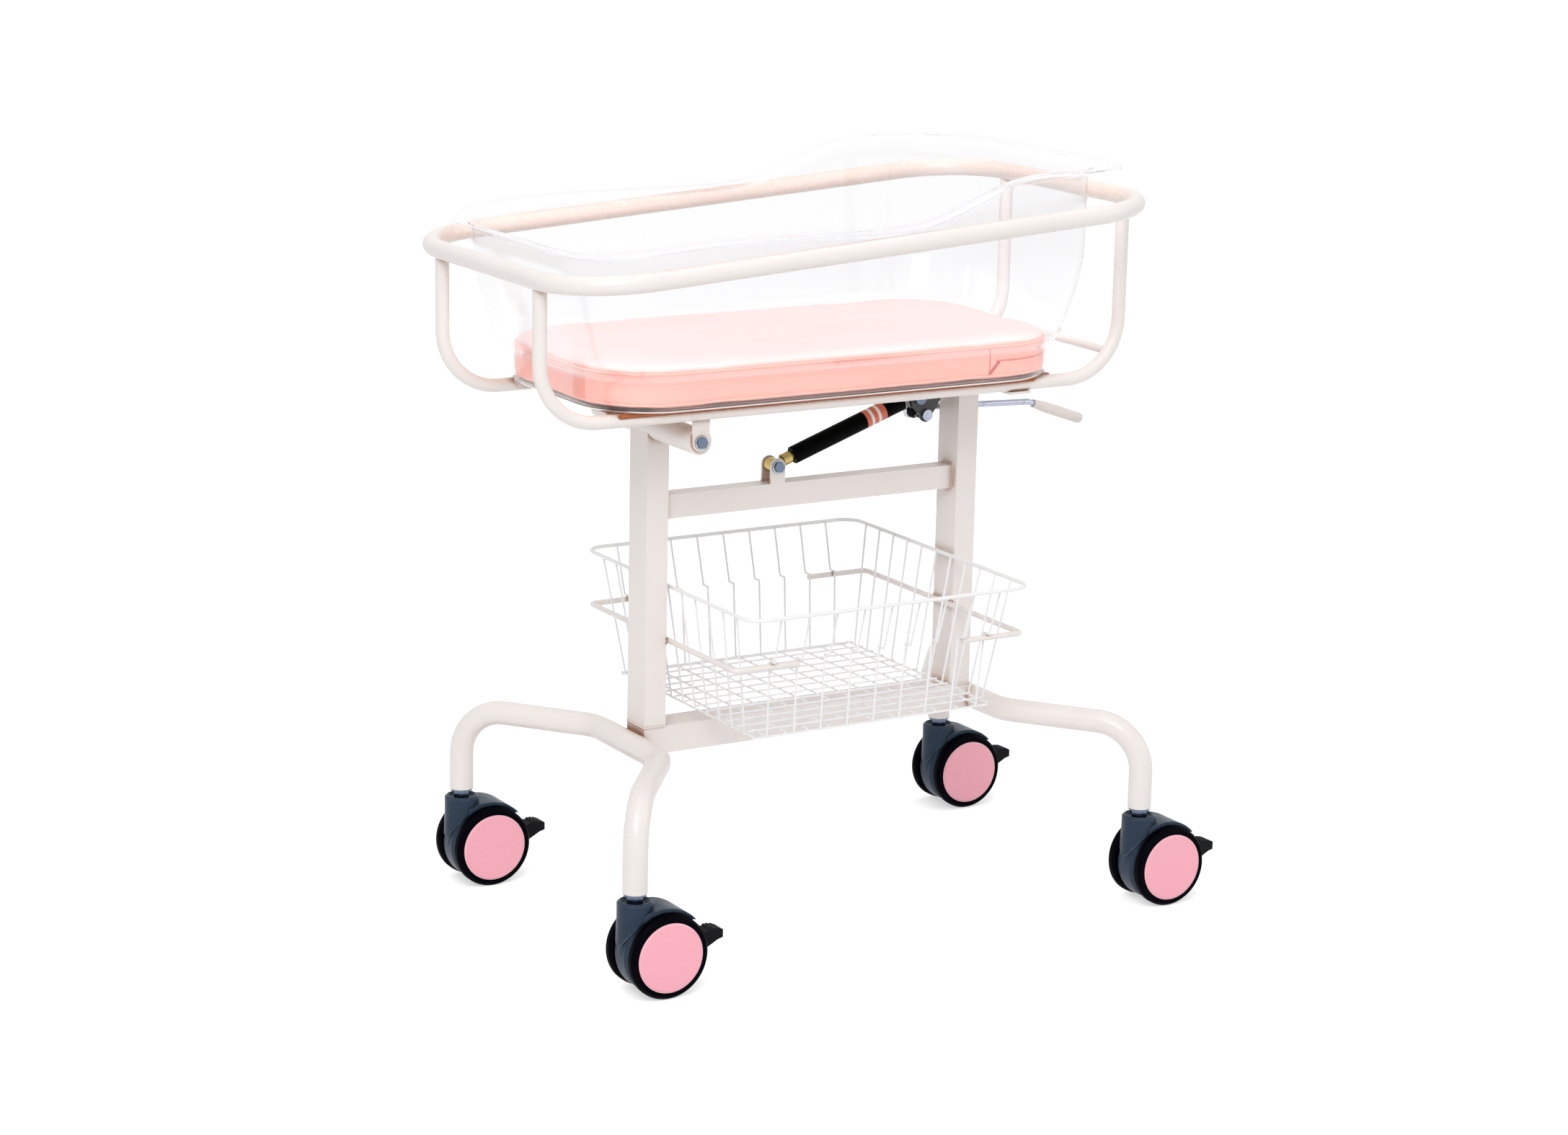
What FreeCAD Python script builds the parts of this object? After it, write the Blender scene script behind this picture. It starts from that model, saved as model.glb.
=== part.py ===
"""Hospital bassinet: a tilting tube cradle with a clear tub, on a wheeled two-column frame.

Frame: origin on the floor under the middle of the four casters, +X towards the head end,
+Z up. The cradle tilts about the cross tube on the left column, and a lockable gas spring
between the mid bar and the cradle holds the tilt.
"""

import FreeCAD, Part
import math
import os

import Sketcher

Vector = FreeCAD.Vector

# Driving dimensions in millimetres and degrees.
SIZES = {
    # wheeled frame
    "caster_span_x": 708,
    "caster_span_y": 452,
    "leg_od": 29.4,
    "leg_wall": 2,
    "leg_axis_z": 226,
    "leg_end_z": 123.2,
    "leg_knee_bend": 58,
    "leg_splay_bend": 55,
    "leg_middle_x": 243.5,
    "leg_middle_half": 82,
    "column_x": 218,
    "column_width": 29,
    "column_depth": 43,
    "column_wall": 2,
    "beam_height": 34,
    "beam_top": 247,
    "mid_bar_top": 527.6,
    "mid_bar_height": 29,
    "mid_bar_depth": 24,
    "mid_bar_wall": 1.5,
    "rest_gap": 0.3,
    "rest_pad_height": 4.5,
    "rest_pad_skirt": 10,
    # tilt pivot
    "pivot_z": 613,
    "pivot_tube_od": 31,
    "pivot_tube_wall": 2.5,
    "pivot_plug_length": 14,
    "bolt_radius": 4,
    "bolt_head_radius": 7,
    "bolt_head_height": 5,
    "running_clearance": 0.05,
    "side_gap": 0.4,
    # cradle
    "u_od": 16.4,
    "u_wall": 1.5,
    "u_y": 125,
    "u_axis_z": 648,
    "u_bend": 72,
    "u_left": 427,
    "u_right": 364,
    "ring_od": 22,
    "ring_wall": 1.8,
    "ring_centre_x": -35,
    "ring_centre_z": 842,
    "ring_slope": 4,
    "ring_half_length": 396,
    "ring_half_width": 222,
    "ring_corner": 100,
    "crossbar_od": 10,
    "crossbar_x": 350,
    "crossbar_z": 679,
    "tab_width": 22,
    "tab_thickness": 3,
    "tab_inset": 5,
    "tray_thickness": 1.5,
    "tray_flange": 13,
    "tray_left": 338,
    "tray_right": 270,
    "tray_end_slope": 8,
    "strap_width": 30,
    "strap_thickness": 3,
    # gas spring
    "clevis_x": -48,
    "clevis_rise": 20.4,
    "clevis_width": 20,
    "clevis_thickness": 3,
    "head_pivot_x": 150,
    "head_pivot_z": 617.3,
    "spring_radius": 11,
    "spring_bore": 9.4,
    "spring_floor": 5,
    "spring_start": 28,
    "rod_showing": 5.3,
    "gland_length": 7,
    "rod_radius": 4,
    "rod_inside": 120,
    "piston_length": 12,
    "piston_clearance": 0.2,
    "eye_radius": 9,
    "eye_width": 14,
    "nut_radius": 7.5,
    "head_length": 26,
    "head_width": 18,
    "head_height": 20,
    "head_lobe_width": 10,
    "head_lobe_drop": 12,
    "bracket_thickness": 3,
    "bracket_inside": 12,
    "bracket_flange": 12,
    "bracket_boss": 9,
    "bracket_hole": 5.8,
    "bracket_head_margin": 11,
    "bracket_column_gap": 6,
    "head_screw_radius": 4,
    "head_screw_grip": 4,
    "screw_cap_radius": 8,
    "screw_cap_height": 4,
    # release lever
    "lever_x": 160,
    "lever_z": 595,
    "lever_radius": 4,
    "lever_rear_y": 33,
    "lever_length": 185,
    "lever_drop": 7,
    "lever_nut_height": 4,
    "grip_length": 89,
    "grip_radius": 7,
    "grip_neck": 1.8,
    "grip_nose": 6,
    "grip_drop_angle": 19,
    "finger_hub_radius": 6.5,
    "finger_width": 6,
    "finger_rise": 5,
    "finger_gap": 1.5,
    "roller_radius": 6,
    "roller_width": 3,
    "pin_radius": 1.5,
    "pin_reach": 4.5,
    "pin_inside": 14,
    # tub and mattress
    "tub_wall": 3,
    "tub_centre_x": -38,
    "tub_well_half": 318,
    "tub_well_width": 160,
    "tub_well_depth": 38,
    "tub_well_corner": 92,
    "tub_edge": 6,
    "tub_foot_z": 722,
    "tub_foot_left": 374,
    "tub_foot_right": 290,
    "tub_foot_width": 176,
    "tub_waist_z": 820,
    "tub_waist_left": 391,
    "tub_waist_right": 306,
    "tub_waist_width": 190,
    "tub_corner": 86,
    "rim_left": 402,
    "rim_right": 352,
    "rim_foot_width": 228,
    "rim_head_width": 215,
    "rim_foot_corner": 95,
    "rim_head_corner": 120,
    "rim_foot_z": 861.5,
    "rim_head_z": 914,
    "rim_rise_start": -5,
    "rim_rise_end": 190,
    "rim_droop_start": -200,
    "rim_droop": 20,
    "rim_lip": 5,
    "slab_margin": 10,
    "mattress_gap": 1.5,
    "mattress_thickness": 51,
    "mattress_edge": 8,
    # basket
    "wire_radius": 1.4,
    "rim_wire_radius": 2.5,
    "carrier_radius": 3.5,
    "carrier_z": 352,
    "carrier_half_y": 178,
    "carrier_arm": 86,
    "basket_top_z": 416,
    "basket_top_x": 195,
    "basket_top_y": 205,
    "basket_floor_z": 262,
    "basket_floor_x": 165,
    "basket_floor_y": 161,
    "basket_corner": 24,
    "basket_side_wires": 9,
    "basket_end_wires": 11,
    "basket_jog": 11,
    "ledge_setback": 1,
    "upright_lap": 2.2,
    "floor_pitch_x": 30,
    "floor_pitch_y": 24.5,
    # casters
    "caster_trail": 29,
    "wheel_radius": 50,
    "wheel_width": 14,
    "wheel_gap": 40,
    "wheel_shoulder": 4,
    "wheel_shoulder_drop": 3,
    "disc_radius": 41.5,
    "disc_thickness": 3,
    "disc_dome": 1.5,
    "disc_bevel": 2.5,
    "axle_radius": 5,
    "stem_radius": 5,
    "stem_inside": 44,
    "stem_bore_inside": 45,
    "stem_collar_radius": 13.7,
    "stem_collar_height": 2.5,
    "stem_nut_radius": 10.5,
    "socket_length": 40,
    "housing_radius": 21,
    "housing_skirt_radius": 22,
    "housing_skirt_z": 64,
    "housing_top": 114,
    "housing_chamfer": 2.6,
    "housing_dish_radius": 17,
    "housing_dish_depth": 3,
    "fender_gap": 2,
    "fender_thickness": 4,
    "fender_shift": 3,
    "fender_half": 23,
    "fender_lip_angle": 45,
    "spine_radius": 48,
    "spine_width": 39,
    "spine_edge": 8,
    "spine_bottom": 11,
    "pedal_pivot_x": 64,
    "pedal_pivot_z": 56,
    "pedal_pin_radius": 2,
    "pedal_tongue": 9,
    "pedal_width": 20,
    "pedal_slot_back": 8,
    "pedal_slot_reach": 30,
    "pedal_slot_drop": 20,
    "pedal_slot_rise": 25,
    "pedal_nose_radius": 16,
    "pedal_reach": 50,
    "pedal_groove_radius": 1.2,
}

doc = FreeCAD.newDocument("bassinet")
sheet = doc.addObject("Spreadsheet::Sheet", "sizes")
for row, (alias, value) in enumerate(SIZES.items(), start=1):
    sheet.set(f"A{row}", alias)
    sheet.set(f"B{row}", str(value))
    sheet.setAlias(f"B{row}", alias)
doc.recompute()

nodes = []  # finished sub-parts, in the order they are made


def size(alias):
    """The sheet's value of one driving dimension."""
    return float(sheet.get(alias))


def bound(expression):
    """Turn bare aliases in an expression into references to the sheet."""
    words = []
    word = ""
    for mark in expression + " ":
        if mark.isalnum() or mark == "_":
            word += mark
            continue
        words.append(f"sizes.{word}" if word in SIZES else word)
        words.append(mark)
        word = ""
    return "".join(words).strip()


def value_of(expression):
    """The number that an expression of aliases gives now."""
    result = sheet.evalExpression(bound(expression))
    return float(getattr(result, "Value", result))


def bind(item, **properties):
    """Bind properties of an object to expressions of the sheet's aliases."""
    for name, expression in properties.items():
        item.setExpression(name, bound(expression))


def place(item, spot=("0", "0", "0")):
    """Bind an object's position to three expressions."""
    for axis, expression in zip("xyz", spot):
        item.setExpression(f"Placement.Base.{axis}", bound(expression))


def finish(item, label, spot=None):
    """Name a finished sub-part and keep it for the export."""
    item.Label = label
    if spot:
        place(item, spot)
    nodes.append(item)
    return item


# ---------------------------------------------------------------- drawing helpers


def new_body(name):
    return doc.addObject("PartDesign::Body", name)


def new_sketch(body, plane, lift="0"):
    """A sketch on one of the body's origin planes, lifted along the plane's normal."""
    sketch = body.newObject("Sketcher::SketchObject", f"{body.Name}_sketch")
    support = next(f for f in body.Origin.OriginFeatures if f.Role == plane)
    sketch.AttachmentSupport = (support, [""])
    sketch.MapMode = "FlatFace"
    sketch.setExpression("AttachmentOffset.Base.z", bound(lift))
    return sketch


def fix_point(sketch, geometry, end, spot):
    """Dimension one sketch point from the origin with two bound distances."""
    for kind, expression in zip(("DistanceX", "DistanceY"), spot):
        number = value_of(expression)
        index = sketch.addConstraint(Sketcher.Constraint(kind, -1, 1, geometry, end, number))
        sketch.setExpression(f"Constraints[{index}]", bound(expression))


def draw_polygon(sketch, points):
    """A closed outline through points given as pairs of expressions."""
    numbers = [Vector(value_of(a), value_of(b), 0) for a, b in points]
    lines = []
    for start, end in zip(numbers, numbers[1:] + numbers[:1]):
        lines.append(sketch.addGeometry(Part.LineSegment(start, end)))
    for line, following in zip(lines, lines[1:] + lines[:1]):
        sketch.addConstraint(Sketcher.Constraint("Coincident", line, 2, following, 1))
    for line, spot in zip(lines, points):
        fix_point(sketch, line, 1, spot)


def draw_circle(sketch, centre, radius):
    """A circle with a bound centre and radius."""
    middle = Vector(value_of(centre[0]), value_of(centre[1]), 0)
    circle = sketch.addGeometry(Part.Circle(middle, Vector(0, 0, 1), value_of(radius)))
    fix_point(sketch, circle, 3, centre)
    index = sketch.addConstraint(Sketcher.Constraint("Radius", circle, value_of(radius)))
    sketch.setExpression(f"Constraints[{index}]", bound(radius))


def pad(body, sketch, length):
    feature = body.newObject("PartDesign::Pad", f"{body.Name}_pad")
    feature.Profile = sketch
    bind(feature, Length=length)
    body.Tip = feature
    return feature


def pocket(body, sketch, length, reverse=False):
    feature = body.newObject("PartDesign::Pocket", f"{body.Name}_pocket")
    feature.Profile = sketch
    feature.Reversed = reverse
    bind(feature, Length=length)
    body.Tip = feature
    return feature


def revolve(body, sketch, axis="V_Axis"):
    feature = body.newObject("PartDesign::Revolution", f"{body.Name}_revolution")
    feature.Profile = sketch
    feature.ReferenceAxis = (sketch, [axis])
    feature.Angle = 360
    body.Tip = feature
    return feature


def box(name, low, high):
    """A bound box between two corners given as expressions."""
    item = doc.addObject("Part::Box", name)
    sides = [f"({b}) - ({a})" for a, b in zip(low, high)]
    bind(item, Length=sides[0], Width=sides[1], Height=sides[2])
    place(item, low)
    return item


def rod(name, radius, start, length, axis="Z"):
    """A bound cylinder from a start point along one axis."""
    item = doc.addObject("Part::Cylinder", name)
    turn = {"X": ((0, 1, 0), 90), "Y": ((1, 0, 0), -90), "Z": ((0, 0, 1), 0)}[axis]
    item.Placement = FreeCAD.Placement(Vector(), FreeCAD.Rotation(Vector(*turn[0]), turn[1]))
    bind(item, Radius=radius, Height=length)
    place(item, start)
    return item


def cut(name, base, tool):
    item = doc.addObject("Part::Cut", name)
    item.Base = base
    item.Tool = tool
    return item


def join(name, shapes):
    item = doc.addObject("Part::MultiFuse", name)
    item.Shapes = shapes
    return item


def common(name, base, tool):
    item = doc.addObject("Part::Common", name)
    item.Base = base
    item.Tool = tool
    return item


def group(name, shapes):
    """Separate solids kept together as one node."""
    item = doc.addObject("Part::Compound", name)
    item.Links = shapes
    return item


def feature(label, shape):
    """A finished sub-part whose shape is worked out in code from the sheet."""
    item = doc.addObject("Part::Feature", label)
    item.Shape = shape
    return finish(item, label)


def rounded_path(points, radii, closed=False):
    """Straight runs through points, joined by tangent arcs, as one wire."""
    count = len(points)
    starts = []
    ends = []
    arcs = []
    for index, corner in enumerate(points):
        radius = radii[index]
        if radius == 0:
            starts.append(corner)
            ends.append(corner)
            arcs.append(None)
            continue
        back = (points[index - 1] - corner).normalize()
        ahead = (points[(index + 1) % count] - corner).normalize()
        half = back.getAngle(ahead) / 2
        reach = radius / math.tan(half)
        middle_way = (back + ahead).normalize()
        middle = corner + middle_way * (radius / math.sin(half) - radius)
        start = corner + back * reach
        end = corner + ahead * reach
        starts.append(start)
        ends.append(end)
        arcs.append(Part.Arc(start, middle, end))
    edges = []
    for index in range(count):
        if arcs[index]:
            edges.append(arcs[index].toShape())
        if index == count - 1 and not closed:
            break
        following = starts[(index + 1) % count]
        if ends[index].distanceToPoint(following) > 1e-6:
            edges.append(Part.LineSegment(ends[index], following).toShape())
    return Part.Wire(Part.__sortEdges__(edges))


def round_bar(path, radius):
    """A solid round bar along a wire."""
    start = path.OrderedVertexes[0].Point
    edge = path.OrderedEdges[0]
    heading = edge.tangentAt(edge.FirstParameter)
    if edge.valueAt(edge.FirstParameter).distanceToPoint(start) > 1e-6:
        heading = edge.tangentAt(edge.LastParameter).negative()
    section = Part.Wire(Part.makeCircle(radius, start, heading))
    return path.makePipeShell([section], True, False)


def bent_tube(path, outer, wall):
    """A tube along a wire, open through its length."""
    return round_bar(path, outer / 2).cut(round_bar(path, outer / 2 - wall))


def rounded_rectangle(x_low, x_high, half_low, half_high, corner_low, corner_high, height):
    """A horizontal rounded outline: it may be narrower at its +X end."""
    corners = [
        Vector(x_low, -half_low, height),
        Vector(x_high, -half_high, height),
        Vector(x_high, half_high, height),
        Vector(x_low, half_low, height),
    ]
    radii = [corner_low, corner_high, corner_high, corner_low]
    return rounded_path(corners, radii, closed=True)


# ---------------------------------------------------------------- wheeled frame


def rectangular_tube(name, low, high, wall, along):
    """An open rectangular tube between two corners, hollow along one axis."""
    inner_low = []
    inner_high = []
    for index, axis in enumerate("XYZ"):
        inset = "-1" if axis == along else wall
        inner_low.append(f"({low[index]}) + ({inset})")
        inner_high.append(f"({high[index]}) - ({inset})")
    outer = box(f"{name}_outer", low, high)
    inner = box(f"{name}_inner", inner_low, inner_high)
    return cut(name, outer, inner)


COLUMN_HALF_DEPTH = "column_depth / 2"
PIVOT_X = "-column_x"
STRAP_BOTTOM = "u_axis_z - u_od / 2 - strap_thickness"
PAD_TOP = f"{STRAP_BOTTOM} - rest_gap"
RIGHT_COLUMN_TOP = f"{PAD_TOP} - rest_pad_height"


def make_columns():
    """Two upright rectangular tubes: the left one is coped to the pivot tube."""
    for side, sign, top in (("left", "-", "pivot_z"), ("right", "", RIGHT_COLUMN_TOP)):
        low = (f"{sign}column_x - column_width / 2", f"-{COLUMN_HALF_DEPTH}", "beam_top")
        high = (f"{sign}column_x + column_width / 2", COLUMN_HALF_DEPTH, top)
        column = rectangular_tube(f"column_{side}_tube", low, high, "column_wall", "Z")
        if side == "left":
            saddle = rod(
                "column_saddle",
                "pivot_tube_od / 2",
                (PIVOT_X, "-column_depth", "pivot_z"),
                "2 * column_depth",
                "Y",
            )
            column = cut("column_left_coped", column, saddle)
        finish(column, f"column_{side}")


def leg_path(side):
    """Centre line of one leg tube, from its front caster to its rear one."""
    x_caster = side * size("caster_span_x") / 2
    x_middle = side * size("leg_middle_x")
    y_caster = size("caster_span_y") / 2
    y_middle = size("leg_middle_half")
    z_end = size("leg_end_z")
    z_axis = size("leg_axis_z")
    points = [
        Vector(x_caster, -y_caster, z_end),
        Vector(x_caster, -y_caster, z_axis),
        Vector(x_middle, -y_middle, z_axis),
        Vector(x_middle, y_middle, z_axis),
        Vector(x_caster, y_caster, z_axis),
        Vector(x_caster, y_caster, z_end),
    ]
    knee = size("leg_knee_bend")
    splay = size("leg_splay_bend")
    return rounded_path(points, [0, knee, splay, splay, knee, 0])


def make_legs():
    """The two bent leg tubes and the beam between them: its closed ends are coped to them."""
    beam_half = size("column_x") + size("column_width") / 2
    beam = Part.makeBox(
        2 * beam_half,
        size("column_depth"),
        size("beam_height"),
        Vector(-beam_half, -size("column_depth") / 2, size("beam_top") - size("beam_height")),
    )
    wall = size("column_wall")
    beam_bottom = size("beam_top") - size("beam_height")
    hollow = Part.makeBox(
        2 * (beam_half - wall),
        size("column_depth") - 2 * wall,
        size("beam_height") - 2 * wall,
        Vector(wall - beam_half, wall - size("column_depth") / 2, beam_bottom + wall),
    )
    beam = beam.cut(hollow)
    for name, side in (("left", -1), ("right", 1)):
        path = leg_path(side)
        feature(f"leg_tube_{name}", bent_tube(path, size("leg_od"), size("leg_wall")))
        beam = beam.cut(round_bar(path, size("leg_od") / 2))
    largest = max(beam.Solids, key=lambda solid: solid.Volume)
    feature("bottom_beam", largest)


def make_mid_bar():
    """The bar between the columns that carries the gas spring."""
    reach = "column_x - column_width / 2"
    low = (f"-({reach})", "-mid_bar_depth / 2", "mid_bar_top - mid_bar_height")
    high = (reach, "mid_bar_depth / 2", "mid_bar_top")
    finish(rectangular_tube("mid_bar_tube", low, high, "mid_bar_wall", "X"), "mid_bar")


def lug(name, centre, inside, width, thickness, low, high):
    """A plate with a rounded end, bored across: its straight part runs between two heights."""
    x_spot, z_spot = centre
    end = rod(f"{name}_end", f"{width} / 2", (x_spot, inside, z_spot), thickness, "Y")
    stalk = box(
        f"{name}_stalk",
        (f"{x_spot} - {width} / 2", inside, low),
        (f"{x_spot} + {width} / 2", f"{inside} + {thickness}", high),
    )
    bore = rod(
        f"{name}_bore", "bolt_radius", (x_spot, f"{inside} - 1", z_spot), f"{thickness} + 2", "Y"
    )
    return cut(f"{name}_plate", join(f"{name}_blank", [end, stalk]), bore)


CLEVIS_Z = "mid_bar_top + clevis_rise"


def make_spring_clevis():
    """Two ears on the mid bar that hold the gas spring's lower bolt."""
    ears = []
    centre = ("clevis_x", CLEVIS_Z)
    plate = ("clevis_width", "clevis_thickness", "mid_bar_top", CLEVIS_Z)
    for name, inside in (("front", "-mid_bar_depth / 2"), ("rear", "mid_bar_depth / 2 - clevis_thickness")):
        ears.append(lug(f"clevis_{name}", centre, inside, *plate))
    finish(group("clevis_pair", ears), "spring_clevis")


TAB_INSIDE = "u_y - tab_inset"
PIVOT_HALF = f"{TAB_INSIDE} - side_gap"


def make_pivot_tube():
    """The cross tube on the left column, closed by a bored plug at each end."""
    body = new_body("pivot_tube_body")
    sketch = new_sketch(body, "XZ_Plane", f"-({PIVOT_HALF})")
    draw_circle(sketch, (PIVOT_X, "pivot_z"), "pivot_tube_od / 2")
    draw_circle(sketch, (PIVOT_X, "pivot_z"), "bolt_radius + running_clearance")
    pad(body, sketch, f"2 * ({PIVOT_HALF})")
    hollow = rod(
        "pivot_tube_hollow",
        "pivot_tube_od / 2 - pivot_tube_wall",
        (PIVOT_X, f"pivot_plug_length - ({PIVOT_HALF})", "pivot_z"),
        f"2 * ({PIVOT_HALF} - pivot_plug_length)",
        "Y",
    )
    finish(cut("pivot_tube_shell", body, hollow), "pivot_tube")


def make_basket_carriers():
    """A C-shaped rod welded inside each column: its two arms carry the basket."""
    inner_face = size("column_x") - size("column_width") / 2
    radius = size("carrier_radius")
    half = size("carrier_half_y")
    arm = size("carrier_arm")
    height = size("carrier_z")
    for name, side in (("left", -1), ("right", 1)):
        back = side * (inner_face - radius)
        tip = side * (inner_face - radius - arm)
        points = [
            Vector(tip, -half, height),
            Vector(back, -half, height),
            Vector(back, half, height),
            Vector(tip, half, height),
        ]
        path = rounded_path(points, [0, 2 * radius, 2 * radius, 0])
        feature(f"basket_carrier_{name}", round_bar(path, radius))


def make_rest_pad():
    """The rubber pad plugged into the right column: the cradle rests on it when level."""
    inset = "column_wall + side_gap"
    low = "column_x - column_width / 2"
    high = "column_x + column_width / 2"
    head = box(
        "rest_pad_head",
        (low, f"-{COLUMN_HALF_DEPTH}", RIGHT_COLUMN_TOP),
        (high, COLUMN_HALF_DEPTH, PAD_TOP),
    )
    skirt = box(
        "rest_pad_skirt_block",
        (f"{low} + {inset}", f"{inset} - {COLUMN_HALF_DEPTH}", f"{RIGHT_COLUMN_TOP} - rest_pad_skirt"),
        (f"{high} - ({inset})", f"{COLUMN_HALF_DEPTH} - ({inset})", RIGHT_COLUMN_TOP),
    )
    finish(join("rest_pad_block", [head, skirt]), "rest_pad")


def caster_spots():
    """Name and stem position of each caster, as expressions."""
    for end, x_sign in (("l", "-"), ("r", "")):
        for side, y_sign in (("f", "-"), ("b", "")):
            yield f"{side}{end}", (f"{x_sign}caster_span_x / 2", f"{y_sign}caster_span_y / 2")


def make_caster_mounts():
    """A plastic socket in each leg end, and the steel stem, collar and nut that it grips."""
    sockets = []
    stems = []
    for name, (x_stem, y_stem) in caster_spots():
        body = new_body(f"socket_{name}")
        sketch = new_sketch(body, "XY_Plane", "leg_end_z")
        draw_circle(sketch, (x_stem, y_stem), "leg_od / 2 - leg_wall")
        draw_circle(sketch, (x_stem, y_stem), "stem_radius")
        pad(body, sketch, "socket_length")
        sockets.append(body)
        body = new_body(f"stem_{name}")
        sketch = new_sketch(body, "XZ_Plane")
        collar = "leg_end_z - stem_collar_height"
        draw_polygon(
            sketch,
            [
                ("0", "housing_top - stem_inside"),
                ("stem_radius", "housing_top - stem_inside"),
                ("stem_radius", collar),
                ("stem_collar_radius", collar),
                ("stem_collar_radius", "leg_end_z"),
                ("stem_radius", "leg_end_z"),
                ("stem_radius", "leg_end_z + socket_length"),
                ("0", "leg_end_z + socket_length"),
            ],
        )
        revolve(body, sketch)
        place(body, (x_stem, y_stem, "0"))
        nut = doc.addObject("Part::Prism", f"stem_nut_{name}")
        nut.Polygon = 6
        nut_start = "housing_top - housing_dish_depth + side_gap"
        bind(nut, Circumradius="stem_nut_radius", Height=f"{collar} - ({nut_start})")
        place(nut, (x_stem, y_stem, nut_start))
        stems.append(join(f"stem_solid_{name}", [body, nut]))
    finish(group("socket_set", sockets), "caster_sockets")
    finish(group("stem_set", stems), "caster_stems")


def hexagon(name, start):
    """A bolt's hexagonal head or nut, from its start point along +Y."""
    prism = doc.addObject("Part::Prism", name)
    prism.Polygon = 6
    prism.Placement.Rotation = FreeCAD.Rotation(Vector(1, 0, 0), -90)
    bind(prism, Circumradius="bolt_head_radius", Height="bolt_head_height")
    place(prism, start)
    return prism


def make_lower_bolt():
    """The bolt and nut through the clevis and the gas spring's eye."""
    shank = rod(
        "lower_bolt_shank",
        "bolt_radius",
        ("clevis_x", "-mid_bar_depth / 2", CLEVIS_Z),
        "mid_bar_depth + bolt_head_height",
        "Y",
    )
    head = hexagon("lower_bolt_head", ("clevis_x", "-mid_bar_depth / 2 - bolt_head_height", CLEVIS_Z))
    nut = hexagon("lower_bolt_nut", ("clevis_x", "mid_bar_depth / 2", CLEVIS_Z))
    finish(join("lower_bolt", [shank, head, nut]), "spring_lower_bolt")


# ---------------------------------------------------------------- cradle


def ring_height(x_spot):
    """Height of the sloping guard ring's axis at one x."""
    slope = math.tan(math.radians(size("ring_slope")))
    return size("ring_centre_z") + slope * (x_spot - size("ring_centre_x"))


def ring_path():
    """Centre line of the guard ring: a rounded rectangle that rises to the head end."""
    run = size("ring_half_length")
    corners = []
    for x_sign, y_sign in ((-1, -1), (1, -1), (1, 1), (-1, 1)):
        x_spot = size("ring_centre_x") + x_sign * run
        corners.append(Vector(x_spot, y_sign * size("ring_half_width"), ring_height(x_spot)))
    return rounded_path(corners, [size("ring_corner")] * 4, closed=True)


def u_tube_path(y_spot):
    """Centre line of one U tube, from the ring's foot end down and up to its head end."""
    left = -size("u_left")
    right = size("u_right")
    height = size("u_axis_z")
    points = [
        Vector(left, y_spot, ring_height(left)),
        Vector(left, y_spot, height),
        Vector(right, y_spot, height),
        Vector(right, y_spot, ring_height(right)),
    ]
    return rounded_path(points, [0, size("u_bend"), size("u_bend"), 0])


def make_cradle_tubes():
    """The guard ring, the two U tubes under it and the bar that ties them at the head."""
    path = ring_path()
    ring_bar = round_bar(path, size("ring_od") / 2)
    ring = ring_bar.cut(round_bar(path, size("ring_od") / 2 - size("ring_wall")))
    feature("guard_ring", ring)
    half = size("u_y")
    crossbar = Part.makeCylinder(
        size("crossbar_od") / 2,
        2 * half,
        Vector(size("crossbar_x"), -half, size("crossbar_z")),
        Vector(0, 1, 0),
    )
    for name, y_spot in (("front", -half), ("rear", half)):
        u_path = u_tube_path(y_spot)
        outer = round_bar(u_path, size("u_od") / 2)
        tube = outer.cut(round_bar(u_path, size("u_od") / 2 - size("u_wall"))).cut(ring_bar)
        largest = max(tube.Solids, key=lambda solid: solid.Volume)
        feature(f"u_tube_{name}", largest)
        crossbar = crossbar.cut(outer)
    feature("head_crossbar", max(crossbar.Solids, key=lambda solid: solid.Volume))


def make_pivot_tabs():
    """A plate under each U tube, coped to the tube, and the bolt that it turns with."""
    tabs = []
    bolts = []
    outer_face = f"({TAB_INSIDE} + tab_thickness)"
    reach = "(tab_thickness + side_gap + pivot_plug_length)"
    for name, inside, tube_y, shank_start, head_start in (
        ("front", f"-{outer_face}", "-u_y", f"-{outer_face}", f"-{outer_face} - bolt_head_height"),
        ("rear", f"({TAB_INSIDE})", "u_y", f"{outer_face} - {reach}", outer_face),
    ):
        centre = (PIVOT_X, "pivot_z")
        plate = lug(f"tab_{name}", centre, inside, "tab_width", "tab_thickness", "pivot_z", "u_axis_z")
        tube = rod(
            f"tab_cope_{name}",
            "u_od / 2",
            (f"{PIVOT_X} - tab_width", tube_y, "u_axis_z"),
            "2 * tab_width",
            "X",
        )
        tabs.append(cut(f"tab_{name}_coped", plate, tube))
        shank = rod(
            f"pivot_shank_{name}", "bolt_radius", (PIVOT_X, shank_start, "pivot_z"), reach, "Y"
        )
        head = hexagon(f"pivot_head_{name}", (PIVOT_X, head_start, "pivot_z"))
        bolts.append(join(f"pivot_bolt_{name}", [shank, head]))
    finish(group("tab_pair", tabs), "pivot_tabs")
    finish(group("pivot_bolt_pair", bolts), "pivot_bolts")


TRAY_TOP = "u_axis_z + u_od / 2"
TRAY_HALF = "u_y - u_od / 2"


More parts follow.
